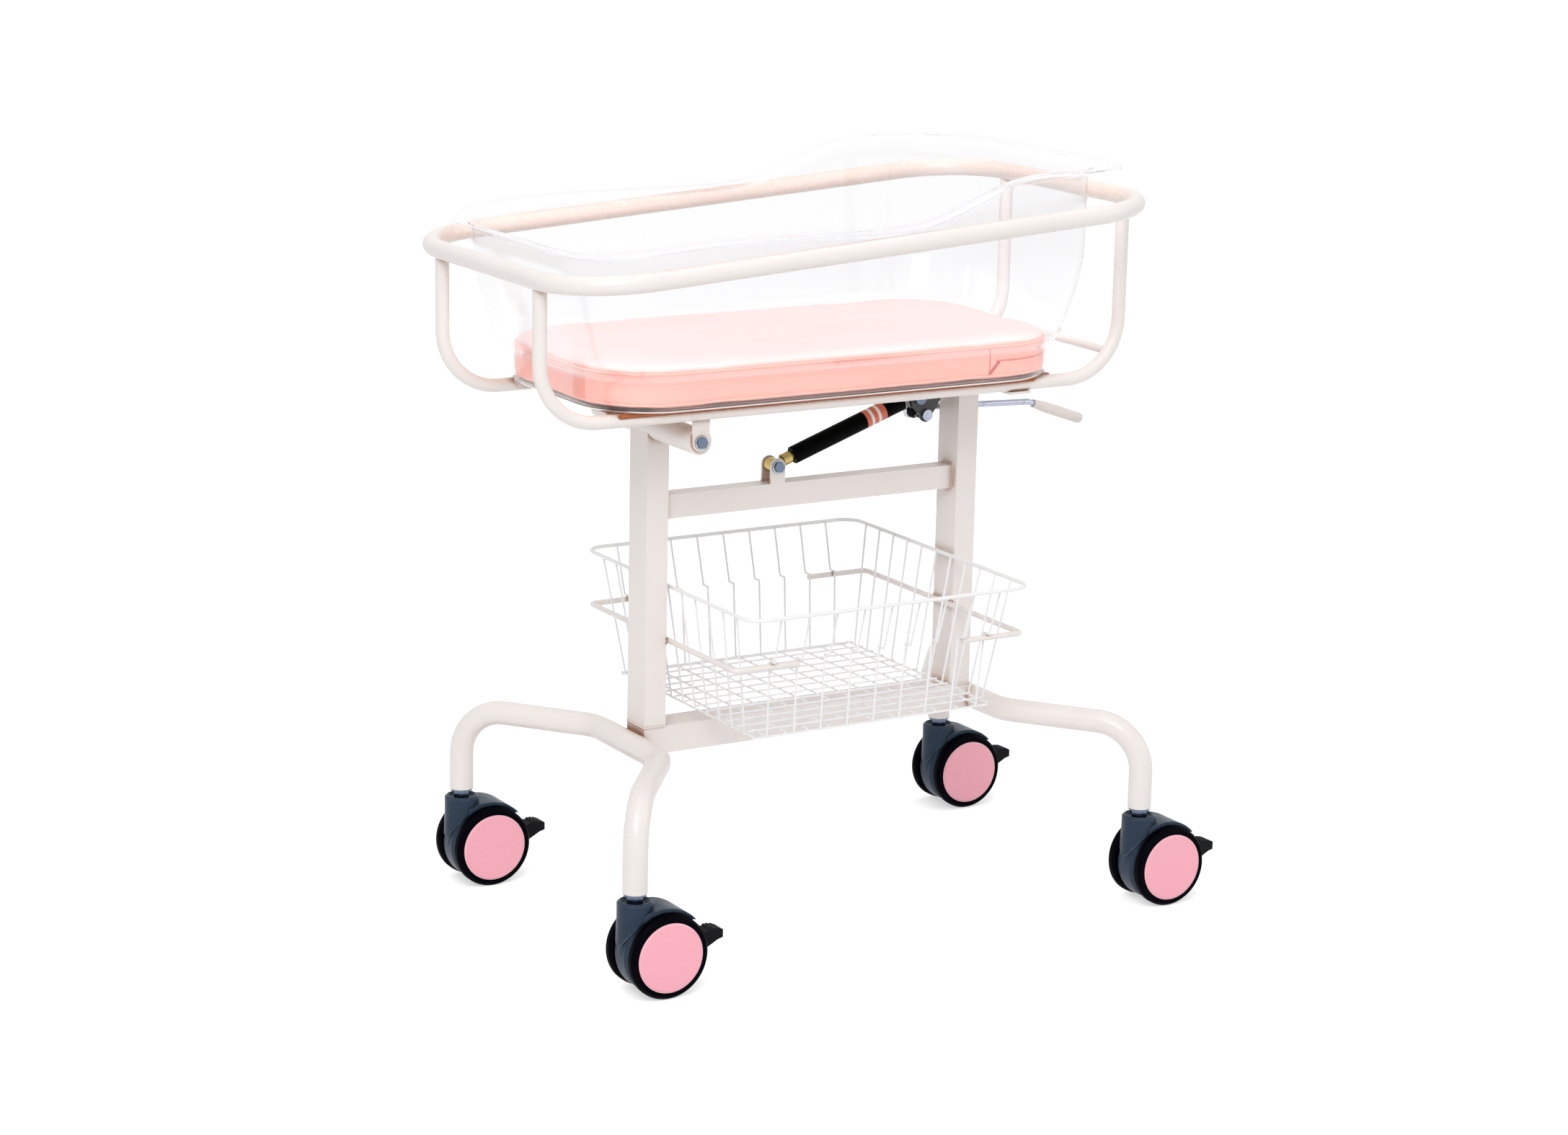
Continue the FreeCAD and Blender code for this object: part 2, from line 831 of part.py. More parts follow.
def make_support_tray():
    """A folded sheet between the U tubes that carries the tub: its ends are cut on a slant."""
    body = new_body("tray_body")
    sketch = new_sketch(body, "YZ_Plane", "-tray_left")
    inner = f"{TRAY_HALF} - tray_thickness"
    foot = f"{TRAY_TOP} - tray_flange"
    under = f"{TRAY_TOP} - tray_thickness"
    draw_polygon(
        sketch,
        [
            (f"-({TRAY_HALF})", foot),
            (f"-({inner})", foot),
            (f"-({inner})", under),
            (inner, under),
            (inner, foot),
            (TRAY_HALF, foot),
            (TRAY_HALF, TRAY_TOP),
            (f"-({TRAY_HALF})", TRAY_TOP),
        ],
    )
    pad(body, sketch, "tray_left + tray_right")
    for name, sign, edge in (("left", "", "-tray_left"), ("right", "-", "tray_right")):
        sketch = new_sketch(body, "XZ_Plane", f"-({TRAY_HALF} + 1)")
        slope = f"{sign}tray_end_slope"
        draw_polygon(
            sketch,
            [
                (f"{edge} - {sign}1", f"{TRAY_TOP} - 2 * tray_thickness"),
                (edge, f"{TRAY_TOP} - 2 * tray_thickness"),
                (f"{edge} + {slope}", f"{foot} - 1"),
                (f"{edge} - {sign}1", f"{foot} - 1"),
            ],
        )
        pocket(body, sketch, f"2 * ({TRAY_HALF}) + 2", reverse=True)
    finish(body, "support_tray")


def make_rest_strap():
    """The flat bar under the U tubes that comes down on the rest pad."""
    half = "u_y + u_od / 2"
    strap = box(
        "rest_strap_bar",
        ("column_x - strap_width / 2", f"-({half})", STRAP_BOTTOM),
        ("column_x + strap_width / 2", half, "u_axis_z - u_od / 2"),
    )
    finish(strap, "rest_strap")


def make_spring_bracket():
    """Two folded plates under the tray: the gas spring's head above, the release lever below."""
    plates = []
    top = f"({TRAY_TOP} - tray_thickness)"
    left = "(head_pivot_x - bracket_head_margin)"
    right = "(column_x - column_width / 2 - bracket_column_gap)"
    for name, inside, flange_inside in (
        ("front", "-(bracket_inside + bracket_thickness)", "-(bracket_inside + bracket_flange)"),
        ("rear", "bracket_inside", "bracket_inside"),
    ):
        body = new_body(f"bracket_{name}")
        sketch = new_sketch(body, "XZ_Plane", f"-({inside} + bracket_thickness)")
        draw_polygon(
            sketch,
            [
                (left, top),
                (left, "head_pivot_z - bracket_head_margin"),
                ("lever_x - bracket_boss", "lever_z"),
                ("lever_x + bracket_boss", "lever_z"),
                (right, "u_axis_z - u_od / 2"),
                (right, top),
            ],
        )
        pad(body, sketch, "bracket_thickness")
        boss = rod(
            f"bracket_boss_{name}", "bracket_boss", ("lever_x", inside, "lever_z"), "bracket_thickness", "Y"
        )
        flange = box(
            f"bracket_flange_{name}",
            (left, flange_inside, f"{top} - bracket_thickness"),
            (right, f"{flange_inside} + bracket_flange", top),
        )
        blank = join(f"bracket_blank_{name}", [body, boss, flange])
        holes = [
            rod(f"{hole}_{name}", radius, (x_spot, f"{inside} - 1", z_spot), "bracket_thickness + 2", "Y")
            for hole, radius, x_spot, z_spot in (
                ("head_screw_hole", "bracket_hole", "head_pivot_x", "head_pivot_z"),
                ("lever_hole", "lever_radius + running_clearance", "lever_x", "lever_z"),
            )
        ]
        plates.append(cut(f"bracket_plate_{name}", blank, join(f"bracket_holes_{name}", holes)))
    finish(group("bracket_pair", plates), "spring_bracket")


# ---------------------------------------------------------------- gas spring


def spring_run():
    """The vector between the gas spring's two pivots with the cradle level."""
    return Vector(size("head_pivot_x"), 0, size("head_pivot_z")) - spring_foot()


def spring_foot():
    """The gas spring's lower pivot."""
    return Vector(size("clevis_x"), 0, value_of(CLEVIS_Z))


def spring_frame():
    """Placement whose +X runs along the gas spring from its lower bolt."""
    return FreeCAD.Placement(spring_foot(), FreeCAD.Rotation(Vector(1, 0, 0), spring_run()))


def spring_end():
    """Where the pressure tube ends along the spring: the rod shows between it and the head."""
    return spring_run().Length - size("head_length") / 2 - size("rod_showing")


def turned(points):
    """A solid of revolution about the spring's axis, from its half profile."""
    outline = Part.makePolygon([Vector(along, 0, out) for along, out in points + points[:1]])
    return Part.Face(outline).revolve(Vector(), Vector(1, 0, 0), 360)


def cross_bar(radius, width, spot=Vector()):
    """A round bar across the spring's axis, centred on a spot."""
    return Part.makeCylinder(radius, width, spot - Vector(0, width / 2, 0), Vector(0, 1, 0))


def spring_feature(label, shape):
    """Put a piece drawn along +X onto the gas spring's axis."""
    feature(label, shape).Placement = spring_frame()


def make_gas_cylinder():
    """The pressure tube, the gland that closes it and the eye that the lower bolt passes."""
    radius = size("spring_radius")
    bore = size("spring_bore")
    start = size("spring_start")
    end = spring_end()
    floor = start + size("spring_floor")
    rod_bore = size("rod_radius") + size("running_clearance")
    seam = radius - 1
    tube = [
        (start, 0),
        (start, seam),
        (start + 1, radius),
        (end - 1, radius),
        (end, seam),
        (end, bore),
        (floor, bore),
        (floor, 0),
    ]
    spring_feature("spring_cylinder", turned(tube))
    inner_end = end - size("gland_length")
    gland = [
        (inner_end, rod_bore),
        (inner_end, bore),
        (end, bore),
        (end + 1, bore - 1),
        (end + 1, rod_bore),
    ]
    spring_feature("spring_gland", turned(gland))
    nut = size("nut_radius")
    stud = size("rod_radius") + 1
    nut_start = size("eye_radius") + 4
    nut_end = start - 4
    shank = turned(
        [
            (0, 0),
            (0, stud),
            (nut_start, stud),
            (nut_start, nut),
            (nut_end, nut),
            (nut_end, stud),
            (start, stud),
            (start, 0),
        ]
    )
    eye = cross_bar(size("eye_radius"), size("eye_width")).fuse(shank)
    hole = cross_bar(size("bolt_radius") + size("running_clearance"), 2 * size("eye_width"))
    spring_feature("spring_end_fitting", eye.cut(hole))


def make_release_head():
    """The rod with its piston, and the block on its end that holds the release pin."""
    reach = spring_run().Length
    bore = size("spring_bore")
    rod_radius = size("rod_radius")
    gap = size("running_clearance")
    width = size("head_width")
    height = size("head_height")
    head_start = reach - size("head_length") / 2
    head_end = reach + size("head_length") / 2
    pin_end = head_end + size("pin_reach")
    socket_end = head_start + 2 * rod_radius
    rod_start = spring_end() - size("rod_inside")
    piston_end = rod_start + size("piston_length")
    piston_radius = bore - size("piston_clearance")
    rod_bar = [
        (rod_start, 0),
        (rod_start, piston_radius),
        (piston_end, piston_radius),
        (piston_end, rod_radius),
        (socket_end, rod_radius),
        (socket_end, 0),
    ]
    spring_feature("spring_rod", turned(rod_bar))
    block = Part.makeBox(size("head_length"), width, height, Vector(head_start, -width / 2, -height / 2))
    lobe_width = size("head_lobe_width")
    lobe_start = spring_end() + 1 + size("side_gap")
    lobe = Part.makeBox(
        lobe_width,
        lobe_width,
        height / 2 + size("head_lobe_drop"),
        Vector(lobe_start, -lobe_width / 2, -height / 2 - size("head_lobe_drop")),
    )
    along = Vector(1, 0, 0)
    clear_of_rod = Part.makeCylinder(rod_radius, socket_end - lobe_start, along * lobe_start, along)
    roller_spot = Vector(lobe_start + lobe_width / 2, 0, -height / 2 - size("head_lobe_drop") / 2)
    roller_pin = cross_bar(lobe_width / 4, lobe_width, roller_spot)
    pin_bore = size("pin_radius") + gap
    pin_hole = Part.makeCylinder(pin_bore, head_end - socket_end, along * socket_end, along)
    grip = size("head_screw_grip")
    screw_holes = cross_bar(size("head_screw_radius"), width, Vector(reach, 0, 0)).cut(
        cross_bar(2 * size("head_screw_radius"), 2 * grip, Vector(reach, 0, 0))
    )
    head = block.fuse(lobe).cut(clear_of_rod).cut(pin_hole).cut(screw_holes).cut(roller_pin)
    spring_feature("release_head", head)
    disc_start = roller_spot - Vector(0, lobe_width / 2 + size("roller_width"), 0)
    disc = Part.makeCylinder(size("roller_radius"), size("roller_width"), disc_start, Vector(0, 1, 0))
    spring_feature("trigger_roller", disc.fuse(roller_pin))
    cap_start = size("bracket_inside") + size("bracket_thickness") + size("side_gap")
    screws = []
    for sign in (-1, 1):
        out = Vector(0, sign, 0)
        foot = Vector(reach, 0, 0)
        shank = Part.makeCylinder(size("head_screw_radius"), cap_start - grip, foot + out * grip, out)
        cap_height = size("screw_cap_height")
        cap = Part.makeCylinder(size("screw_cap_radius"), cap_height, foot + out * cap_start, out)
        screws.append(shank.fuse(cap))
    spring_feature("head_screws", Part.makeCompound(screws))
    pin_start = head_end - size("pin_inside")
    pin = Part.makeCylinder(size("pin_radius"), pin_end - pin_start, along * pin_start, along)
    spring_feature("release_pin", pin)


def grip_solid(start, way):
    """The grip as one turned form: a thin neck that swells to a full body, and a rounded nose."""
    length = size("grip_length") - 2 * size("lever_radius")
    thick = size("grip_radius")
    nose = size("grip_nose")
    turns = [math.radians(22.5 * step) for step in range(5)]
    swell = [
        (length / 3 * turn / turns[-1], thick - size("grip_neck") * (1 - math.sin(turn))) for turn in turns
    ]
    cap = [(length - nose + nose * math.sin(turn), thick * math.cos(turn)) for turn in turns[:-1]]
    solid = turned([(0, 0)] + swell + cap + [(length, thick / 6), (length, 0)])
    solid.Placement = FreeCAD.Placement(start, FreeCAD.Rotation(Vector(1, 0, 0), way))
    return solid


def make_release_lever():
    """A bent rod that turns in the bracket, its grip, and the finger that presses the pin."""
    radius = size("lever_radius")
    x_spot = size("lever_x")
    z_spot = size("lever_z")
    nut_height = size("lever_nut_height")
    front = -(size("bracket_inside") + size("bracket_thickness") + size("side_gap") + nut_height)
    rear = size("lever_rear_y")
    far = Vector(x_spot + size("lever_length"), rear, z_spot - size("lever_drop"))
    drop = math.radians(size("grip_drop_angle"))
    way = Vector(math.cos(drop), 0, -math.sin(drop))
    tip = far + way * (size("grip_length") - radius)
    points = [Vector(x_spot, front, z_spot), Vector(x_spot, rear, z_spot), far, tip]
    bar = round_bar(rounded_path(points, [0, 3 * radius, 6 * radius, 0]), radius)
    nut = Part.makeCylinder(size("bolt_head_radius"), nut_height, points[0], Vector(0, 1, 0))
    feature("release_lever", bar.fuse(nut))
    feature("lever_grip", grip_solid(far + way * (2 * radius), way).cut(bar))
    pin_reach = spring_run().Length + size("head_length") / 2 + size("pin_reach")
    pin_end = spring_frame().multVec(Vector(pin_reach, 0, 0))
    half = size("finger_width") / 2
    rise = size("finger_rise")
    face = pin_end.x + size("finger_gap")
    hub_radius = size("finger_hub_radius")
    outline = [
        (x_spot - 3, z_spot + 4),
        (face + 1, pin_end.z - 12),
        (face + 1, pin_end.z - rise),
        (face, pin_end.z - rise + 1),
        (face, pin_end.z + rise),
        (face + 4, pin_end.z + rise),
        (face + 5, pin_end.z - 12),
        (x_spot + 4, z_spot - 4),
    ]
    blade = Part.makePolygon([Vector(a, -half, b) for a, b in outline + outline[:1]])
    hub = Part.makeCylinder(hub_radius, 2 * half, Vector(x_spot, -half, z_spot), Vector(0, 1, 0))
    finger = hub.fuse(Part.Face(blade).extrude(Vector(0, 2 * half, 0)))
    feature("lever_finger", finger.cut(bar))


# ---------------------------------------------------------------- tub and mattress


def rim_profile(drop=0.0):
    """The rim line seen from the side: foot droop, level run, S-shaped rise, head level."""
    left = -size("rim_left") - size("slab_margin")
    droop_start = size("rim_droop_start")
    start = size("rim_rise_start")
    end = size("rim_rise_end")
    right = size("rim_right") + size("slab_margin")
    low = size("rim_foot_z") - drop
    high = size("rim_head_z") - drop
    run = droop_start - left
    sag = size("rim_droop")
    droop_radius = (run**2 + sag**2) / (2 * sag)
    half_turn = math.asin(run / droop_radius) / 2
    droop_middle = Vector(
        droop_start - droop_radius * math.sin(half_turn), 0, low - droop_radius * (1 - math.cos(half_turn))
    )
    rise_run = end - start
    rise = high - low
    rise_radius = (rise_run**2 + rise**2) / (4 * rise)
    turn = math.asin(rise_run / 2 / rise_radius)
    first_middle = Vector(
        start + rise_radius * math.sin(turn / 2), 0, low + rise_radius * (1 - math.cos(turn / 2))
    )
    inflection = Vector((start + end) / 2, 0, (low + high) / 2)
    second_middle = Vector(
        end - rise_radius * math.sin(turn / 2), 0, high - rise_radius * (1 - math.cos(turn / 2))
    )
    return [
        Part.Arc(Vector(left, 0, low - sag), droop_middle, Vector(droop_start, 0, low)).toShape(),
        Part.LineSegment(Vector(droop_start, 0, low), Vector(start, 0, low)).toShape(),
        Part.Arc(Vector(start, 0, low), first_middle, inflection).toShape(),
        Part.Arc(inflection, second_middle, Vector(end, 0, high)).toShape(),
        Part.LineSegment(Vector(end, 0, high), Vector(right, 0, high)).toShape(),
    ]


def slab_between(lower_drop, upper_drop):
    """Everything between two copies of the rim line, across the tub's width."""
    lower = rim_profile(lower_drop)
    upper = rim_profile(upper_drop)
    first = lower[0].valueAt(lower[0].FirstParameter)
    ends = [first, upper[0].valueAt(upper[0].FirstParameter)]
    low_end = lower[-1].valueAt(lower[-1].LastParameter)
    high_end = upper[-1].valueAt(upper[-1].LastParameter)
    sides = [Part.LineSegment(*ends).toShape(), Part.LineSegment(low_end, high_end).toShape()]
    outline = Part.Wire(Part.__sortEdges__(lower + upper + sides))
    half = size("rim_foot_width") + 2 * size("slab_margin")
    face = Part.Face(outline)
    face.translate(Vector(0, -half, 0))
    return face.extrude(Vector(0, 2 * half, 0))


TUB_FLOOR = f"{TRAY_TOP} + rest_gap"


def tub_outline(height, left, right, width, corner, inset):
    """One level outline of the tub, drawn in by an inset."""
    return rounded_rectangle(
        inset - left,
        right - inset,
        width - inset,
        width - inset,
        corner - inset,
        corner - inset,
        height,
    )


def tub_solid(inset):
    """The tub's body as a closed solid, drawn in by an inset all round."""
    floor = value_of(TUB_FLOOR)
    centre = size("tub_centre_x")
    half = size("tub_well_half")
    left = half - centre
    right = half + centre
    width = size("tub_well_width")
    corner = size("tub_well_corner")
    edge = size("tub_edge")
    top = size("rim_head_z") + size("tub_well_depth")
    foot = (size("tub_foot_left"), size("tub_foot_right"), size("tub_foot_width"), size("tub_corner"))
    waist = (size("tub_waist_left"), size("tub_waist_right"), size("tub_waist_width"), size("tub_corner"))
    well = [
        tub_outline(floor + inset + rise, left - draw, right - draw, width - draw, corner - draw, inset)
        for rise, draw in ((0, edge), (edge / 3, edge / 3), (edge, 0), (size("tub_well_depth"), 0))
    ]
    shoulder = well[-1:]
    height = floor + size("tub_well_depth") + inset
    rise = size("tub_foot_z") + inset - height
    for share in (0.35, 0.7, 1.0):
        mix = math.sin(share * math.pi / 2)
        spans = [low + (high - low) * mix for low, high in zip((left, right, width, corner), foot)]
        shoulder.append(tub_outline(height + rise * share, *spans, inset))
    wall = shoulder[-1:]
    run = size("tub_waist_z") - size("tub_foot_z") - inset
    for share in (0.4, 0.75, 1.0):
        mix = math.sin(share * math.pi / 2)
        spans = [low + (high - low) * mix for low, high in zip(foot, waist)]
        wall.append(tub_outline(size("tub_foot_z") + inset + run * share, *spans, inset))
    wall.append(tub_outline(top, *waist, inset))
    return Part.makeLoft(well + shoulder[1:] + wall[1:], True, True)


def make_tub():
    """The clear tub: a well for the mattress, curved walls and a wide rim that rises to a hood."""
    wall = size("tub_wall")
    outer = tub_solid(0)
    inner = tub_solid(wall)
    depth = size("rim_head_z")
    shell = outer.cut(inner).common(slab_between(depth, 0))
    plan = [
        rounded_rectangle(
            inset - size("rim_left"),
            size("rim_right") - inset,
            size("rim_foot_width") - inset,
            size("rim_head_width") - inset,
            size("rim_foot_corner") - inset,
            size("rim_head_corner") - inset,
            0,
        )
        for inset in (0, wall)
    ]
    prism = Part.Face(plan[0]).extrude(Vector(0, 0, 2 * depth))
    inside_lip = Part.Face(plan[1]).extrude(Vector(0, 0, 2 * depth))
    flange = slab_between(wall, 0).common(prism).cut(inner)
    lip = slab_between(size("rim_lip"), 0).common(prism.cut(inside_lip))
    feature("basin_tub", shell.fuse(flange).fuse(lip).removeSplitter())


def make_mattress():
    """The mattress in the tub's well, with a softened edge top and bottom."""
    inset = size("tub_wall") + size("mattress_gap")
    left = size("tub_well_half") - size("tub_centre_x") - inset
    right = size("tub_well_half") + size("tub_centre_x") - inset
    width = size("tub_well_width") - inset
    corner = size("tub_well_corner") - inset
    low = value_of(TUB_FLOOR) + size("tub_wall") + size("rest_gap")
    high = low + size("mattress_thickness")
    edge = size("mattress_edge")
    outlines = [
        tub_outline(height, left, right, width, corner, draw_in)
        for height, draw_in in (
            (low, edge),
            (low + edge / 3, edge / 3),
            (low + edge, 0),
            (high - edge, 0),
            (high - edge / 3, edge / 3),
            (high, edge),
        )
    ]
    feature("mattress", Part.makeLoft(outlines, True, True))


# ---------------------------------------------------------------- basket


def wire_along(points, radius):
    """One straight-sided wire with mitred bends: a six-sided bar."""
    path = Part.makePolygon(points)
    heading = (points[1] - points[0]).normalize()
    across = heading.cross(Vector(1, 1, 0.3)).normalize()
    up = heading.cross(across)
    ring = []
    for step in range(7):
        angle = math.radians(60 * step)
        ring.append(points[0] + across * (radius * math.cos(angle)) + up * (radius * math.sin(angle)))
    section = Part.makePolygon(ring)
    return path.makePipeShell([section], True, False, 1)


def spread_evenly(count, half):
    """Places of count wires spread evenly within plus and minus half."""
    pitch = 2 * half / count
    return [pitch * (index + 0.5) - half for index in range(count)]


def make_basket():
    """Wire basket: rim, four walls of upright wires on a bottom rail, and a floor grid."""
    thin = size("wire_radius")
    thick = size("rim_wire_radius")
    top = size("basket_top_z")
    floor = size("basket_floor_z")
    top_x = size("basket_top_x")
    top_y = size("basket_top_y")
    floor_x = size("basket_floor_x")
    floor_y = size("basket_floor_y")
    ledge = size("carrier_z") + size("carrier_radius") + size("rest_gap") + thin
    below = size("carrier_half_y") - size("carrier_radius") - thin - size("ledge_setback")
    above = below + size("basket_jog")
    rim = rounded_path(
        [
            Vector(-top_x, -top_y, top),
            Vector(top_x, -top_y, top),
            Vector(top_x, top_y, top),
            Vector(-top_x, top_y, top),
        ],
        [size("basket_corner")] * 4,
        closed=True,
    )
    feature("basket_rim", round_bar(rim, thick))
    reach = thick + thin
    # the bottom rails lie along X, the end rails and half the floor wires cross on top of them,
    # and the other floor wires lie on those
    end_rail_z = floor + 2 * thin
    top_layer_z = floor + 4 * thin
    # each upright is welded to the outside of its rail
    lap = size("upright_lap")
    side_count = int(size("basket_side_wires"))
    end_count = int(size("basket_end_wires"))
    corner = size("basket_corner")
    sides = []
    for sign in (-1, 1):
        y_rail = sign * floor_y
        wall = wire_along([Vector(-floor_x, y_rail, floor), Vector(floor_x, y_rail, floor)], thin)
        uprights = []
        for top_spot, spot in zip(
            spread_evenly(side_count, top_x - corner), spread_evenly(side_count, floor_x)
        ):
            share = (ledge - floor) / (top - floor)
            mid_spot = spot + (top_spot - spot) * share
            points = [
                Vector(top_spot, sign * (top_y - reach), top),
                Vector(mid_spot, sign * above, ledge),
                Vector(mid_spot, sign * below, ledge),
                Vector(spot, y_rail + sign * lap, floor),
            ]
            uprights.append(wire_along(points, thin))
        sides.append(wall.multiFuse(uprights))
    feature("basket_side_panels", Part.makeCompound(sides))
    ends = []
    for sign in (-1, 1):
        x_rail = sign * floor_x
        wall = wire_along([Vector(x_rail, -floor_y, end_rail_z), Vector(x_rail, floor_y, end_rail_z)], thin)
        uprights = []
        for top_spot, spot in zip(
            spread_evenly(end_count, top_y - corner), spread_evenly(end_count, floor_y)
        ):
            foot = Vector(x_rail + sign * lap, spot, end_rail_z)
            points = [Vector(sign * (top_x - reach), top_spot, top), foot]
            uprights.append(wire_along(points, thin))
        ends.append(wall.multiFuse(uprights))
    feature("basket_end_panels", Part.makeCompound(ends))
    grid = []
    for spot in spread_evenly(int(2 * floor_x / size("floor_pitch_x")), floor_x):
        ends_of_wire = [Vector(spot, -floor_y, end_rail_z), Vector(spot, floor_y, end_rail_z)]
        grid.append(wire_along(ends_of_wire, thin))
    for spot in spread_evenly(int(2 * floor_y / size("floor_pitch_y")), floor_y):
        ends_of_wire = [Vector(-floor_x, spot, top_layer_z), Vector(floor_x, spot, top_layer_z)]
        grid.append(wire_along(ends_of_wire, thin))
    feature("basket_floor", grid[0].multiFuse(grid[1:]))


# ---------------------------------------------------------------- casters


def make_wheels(name, spot):
    """Twin black wheels, their coloured discs and the axle that they share."""
    gap = "wheel_gap / 2"
    wheels = []
    discs = []
    for side, sign in (("front", "-"), ("rear", "")):
        inside = f"{sign}({gap})"
        outside = f"{sign}({gap} + wheel_width)"
        shoulder_in = f"{sign}({gap} + wheel_shoulder)"
        shoulder_out = f"{sign}({gap} + wheel_width - wheel_shoulder)"
        recess = f"{sign}({gap} + wheel_width - disc_thickness)"
        body = new_body(f"wheel_{side}_{name}")
        sketch = new_sketch(body, "XY_Plane")
        draw_polygon(
            sketch,
            [
                ("axle_radius", inside),
                ("wheel_radius - wheel_shoulder_drop", inside),
                ("wheel_radius", shoulder_in),
                ("wheel_radius", shoulder_out),
                ("wheel_radius - wheel_shoulder_drop", outside),
                ("disc_radius + side_gap", outside),
                ("disc_radius + side_gap", recess),
                ("axle_radius", recess),
            ],
        )
        revolve(body, sketch)
        wheels.append(body)
        body = new_body(f"disc_{side}_{name}")
        sketch = new_sketch(body, "XY_Plane")
        proud = f"{sign}({gap} + wheel_width + disc_dome)"
        draw_polygon(
            sketch,
            [
                ("0", recess),
                ("disc_radius", recess),
                ("disc_radius", outside),
                ("disc_radius - disc_bevel", proud),
                ("0", proud),
            ],
        )
        revolve(body, sketch)
        discs.append(body)
    wheel_spot = (f"{spot[0]} + caster_trail", spot[1], "wheel_radius")
    for body in wheels + discs:
        place(body, wheel_spot)
    finish(group(f"wheel_pair_{name}", wheels), f"caster_wheels_{name}")
    finish(group(f"disc_pair_{name}", discs), f"wheel_discs_{name}")
    length = "wheel_gap + 2 * (wheel_width - disc_thickness)"
    axle = rod(
        f"axle_{name}",
        "axle_radius",
        (wheel_spot[0], f"{spot[1]} - ({length}) / 2", "wheel_radius"),
        length,
        "Y",
    )
    finish(axle, f"caster_axle_{name}")


def make_drum(name, spot):
    """The housing's round top, with a dish in it round the stem's nut."""
    body = new_body(f"drum_{name}")
    sketch = new_sketch(body, "XZ_Plane")
    draw_polygon(
        sketch,
        [
            ("0", "housing_skirt_z"),
            ("housing_skirt_radius", "housing_skirt_z"),
            ("housing_radius", "housing_top - housing_dish_radius"),
            ("housing_radius", "housing_top - housing_chamfer"),
            ("housing_radius - housing_chamfer", "housing_top"),
            ("housing_dish_radius", "housing_top"),
            ("housing_dish_radius - housing_dish_depth", "housing_top - housing_dish_depth"),
            ("0", "housing_top - housing_dish_depth"),
        ],
    )
    revolve(body, sketch)
    place(body, (*spot, "0"))
    return body


def make_spine(name, x_wheel, y_stem):
    """The round plate between the two wheels, thinned towards its edge."""
    half = "spine_width / 2"
    edge = "spine_radius - spine_edge"
    bevel = "spine_radius - spine_edge / 4"
    body = new_body(f"spine_{name}")
    sketch = new_sketch(body, "XY_Plane")
    draw_polygon(
        sketch,
        [
            ("0", f"-({half})"),
            (edge, f"-({half})"),
            (bevel, f"spine_edge / 2 - {half}"),
            ("spine_radius", f"1.2 * spine_edge - {half}"),
            ("spine_radius", f"{half} - 1.2 * spine_edge"),
            (bevel, f"{half} - spine_edge / 2"),
            (edge, half),
            ("0", half),
        ],
    )
    revolve(body, sketch)
    place(body, (x_wheel, y_stem, "wheel_radius"))
    return body


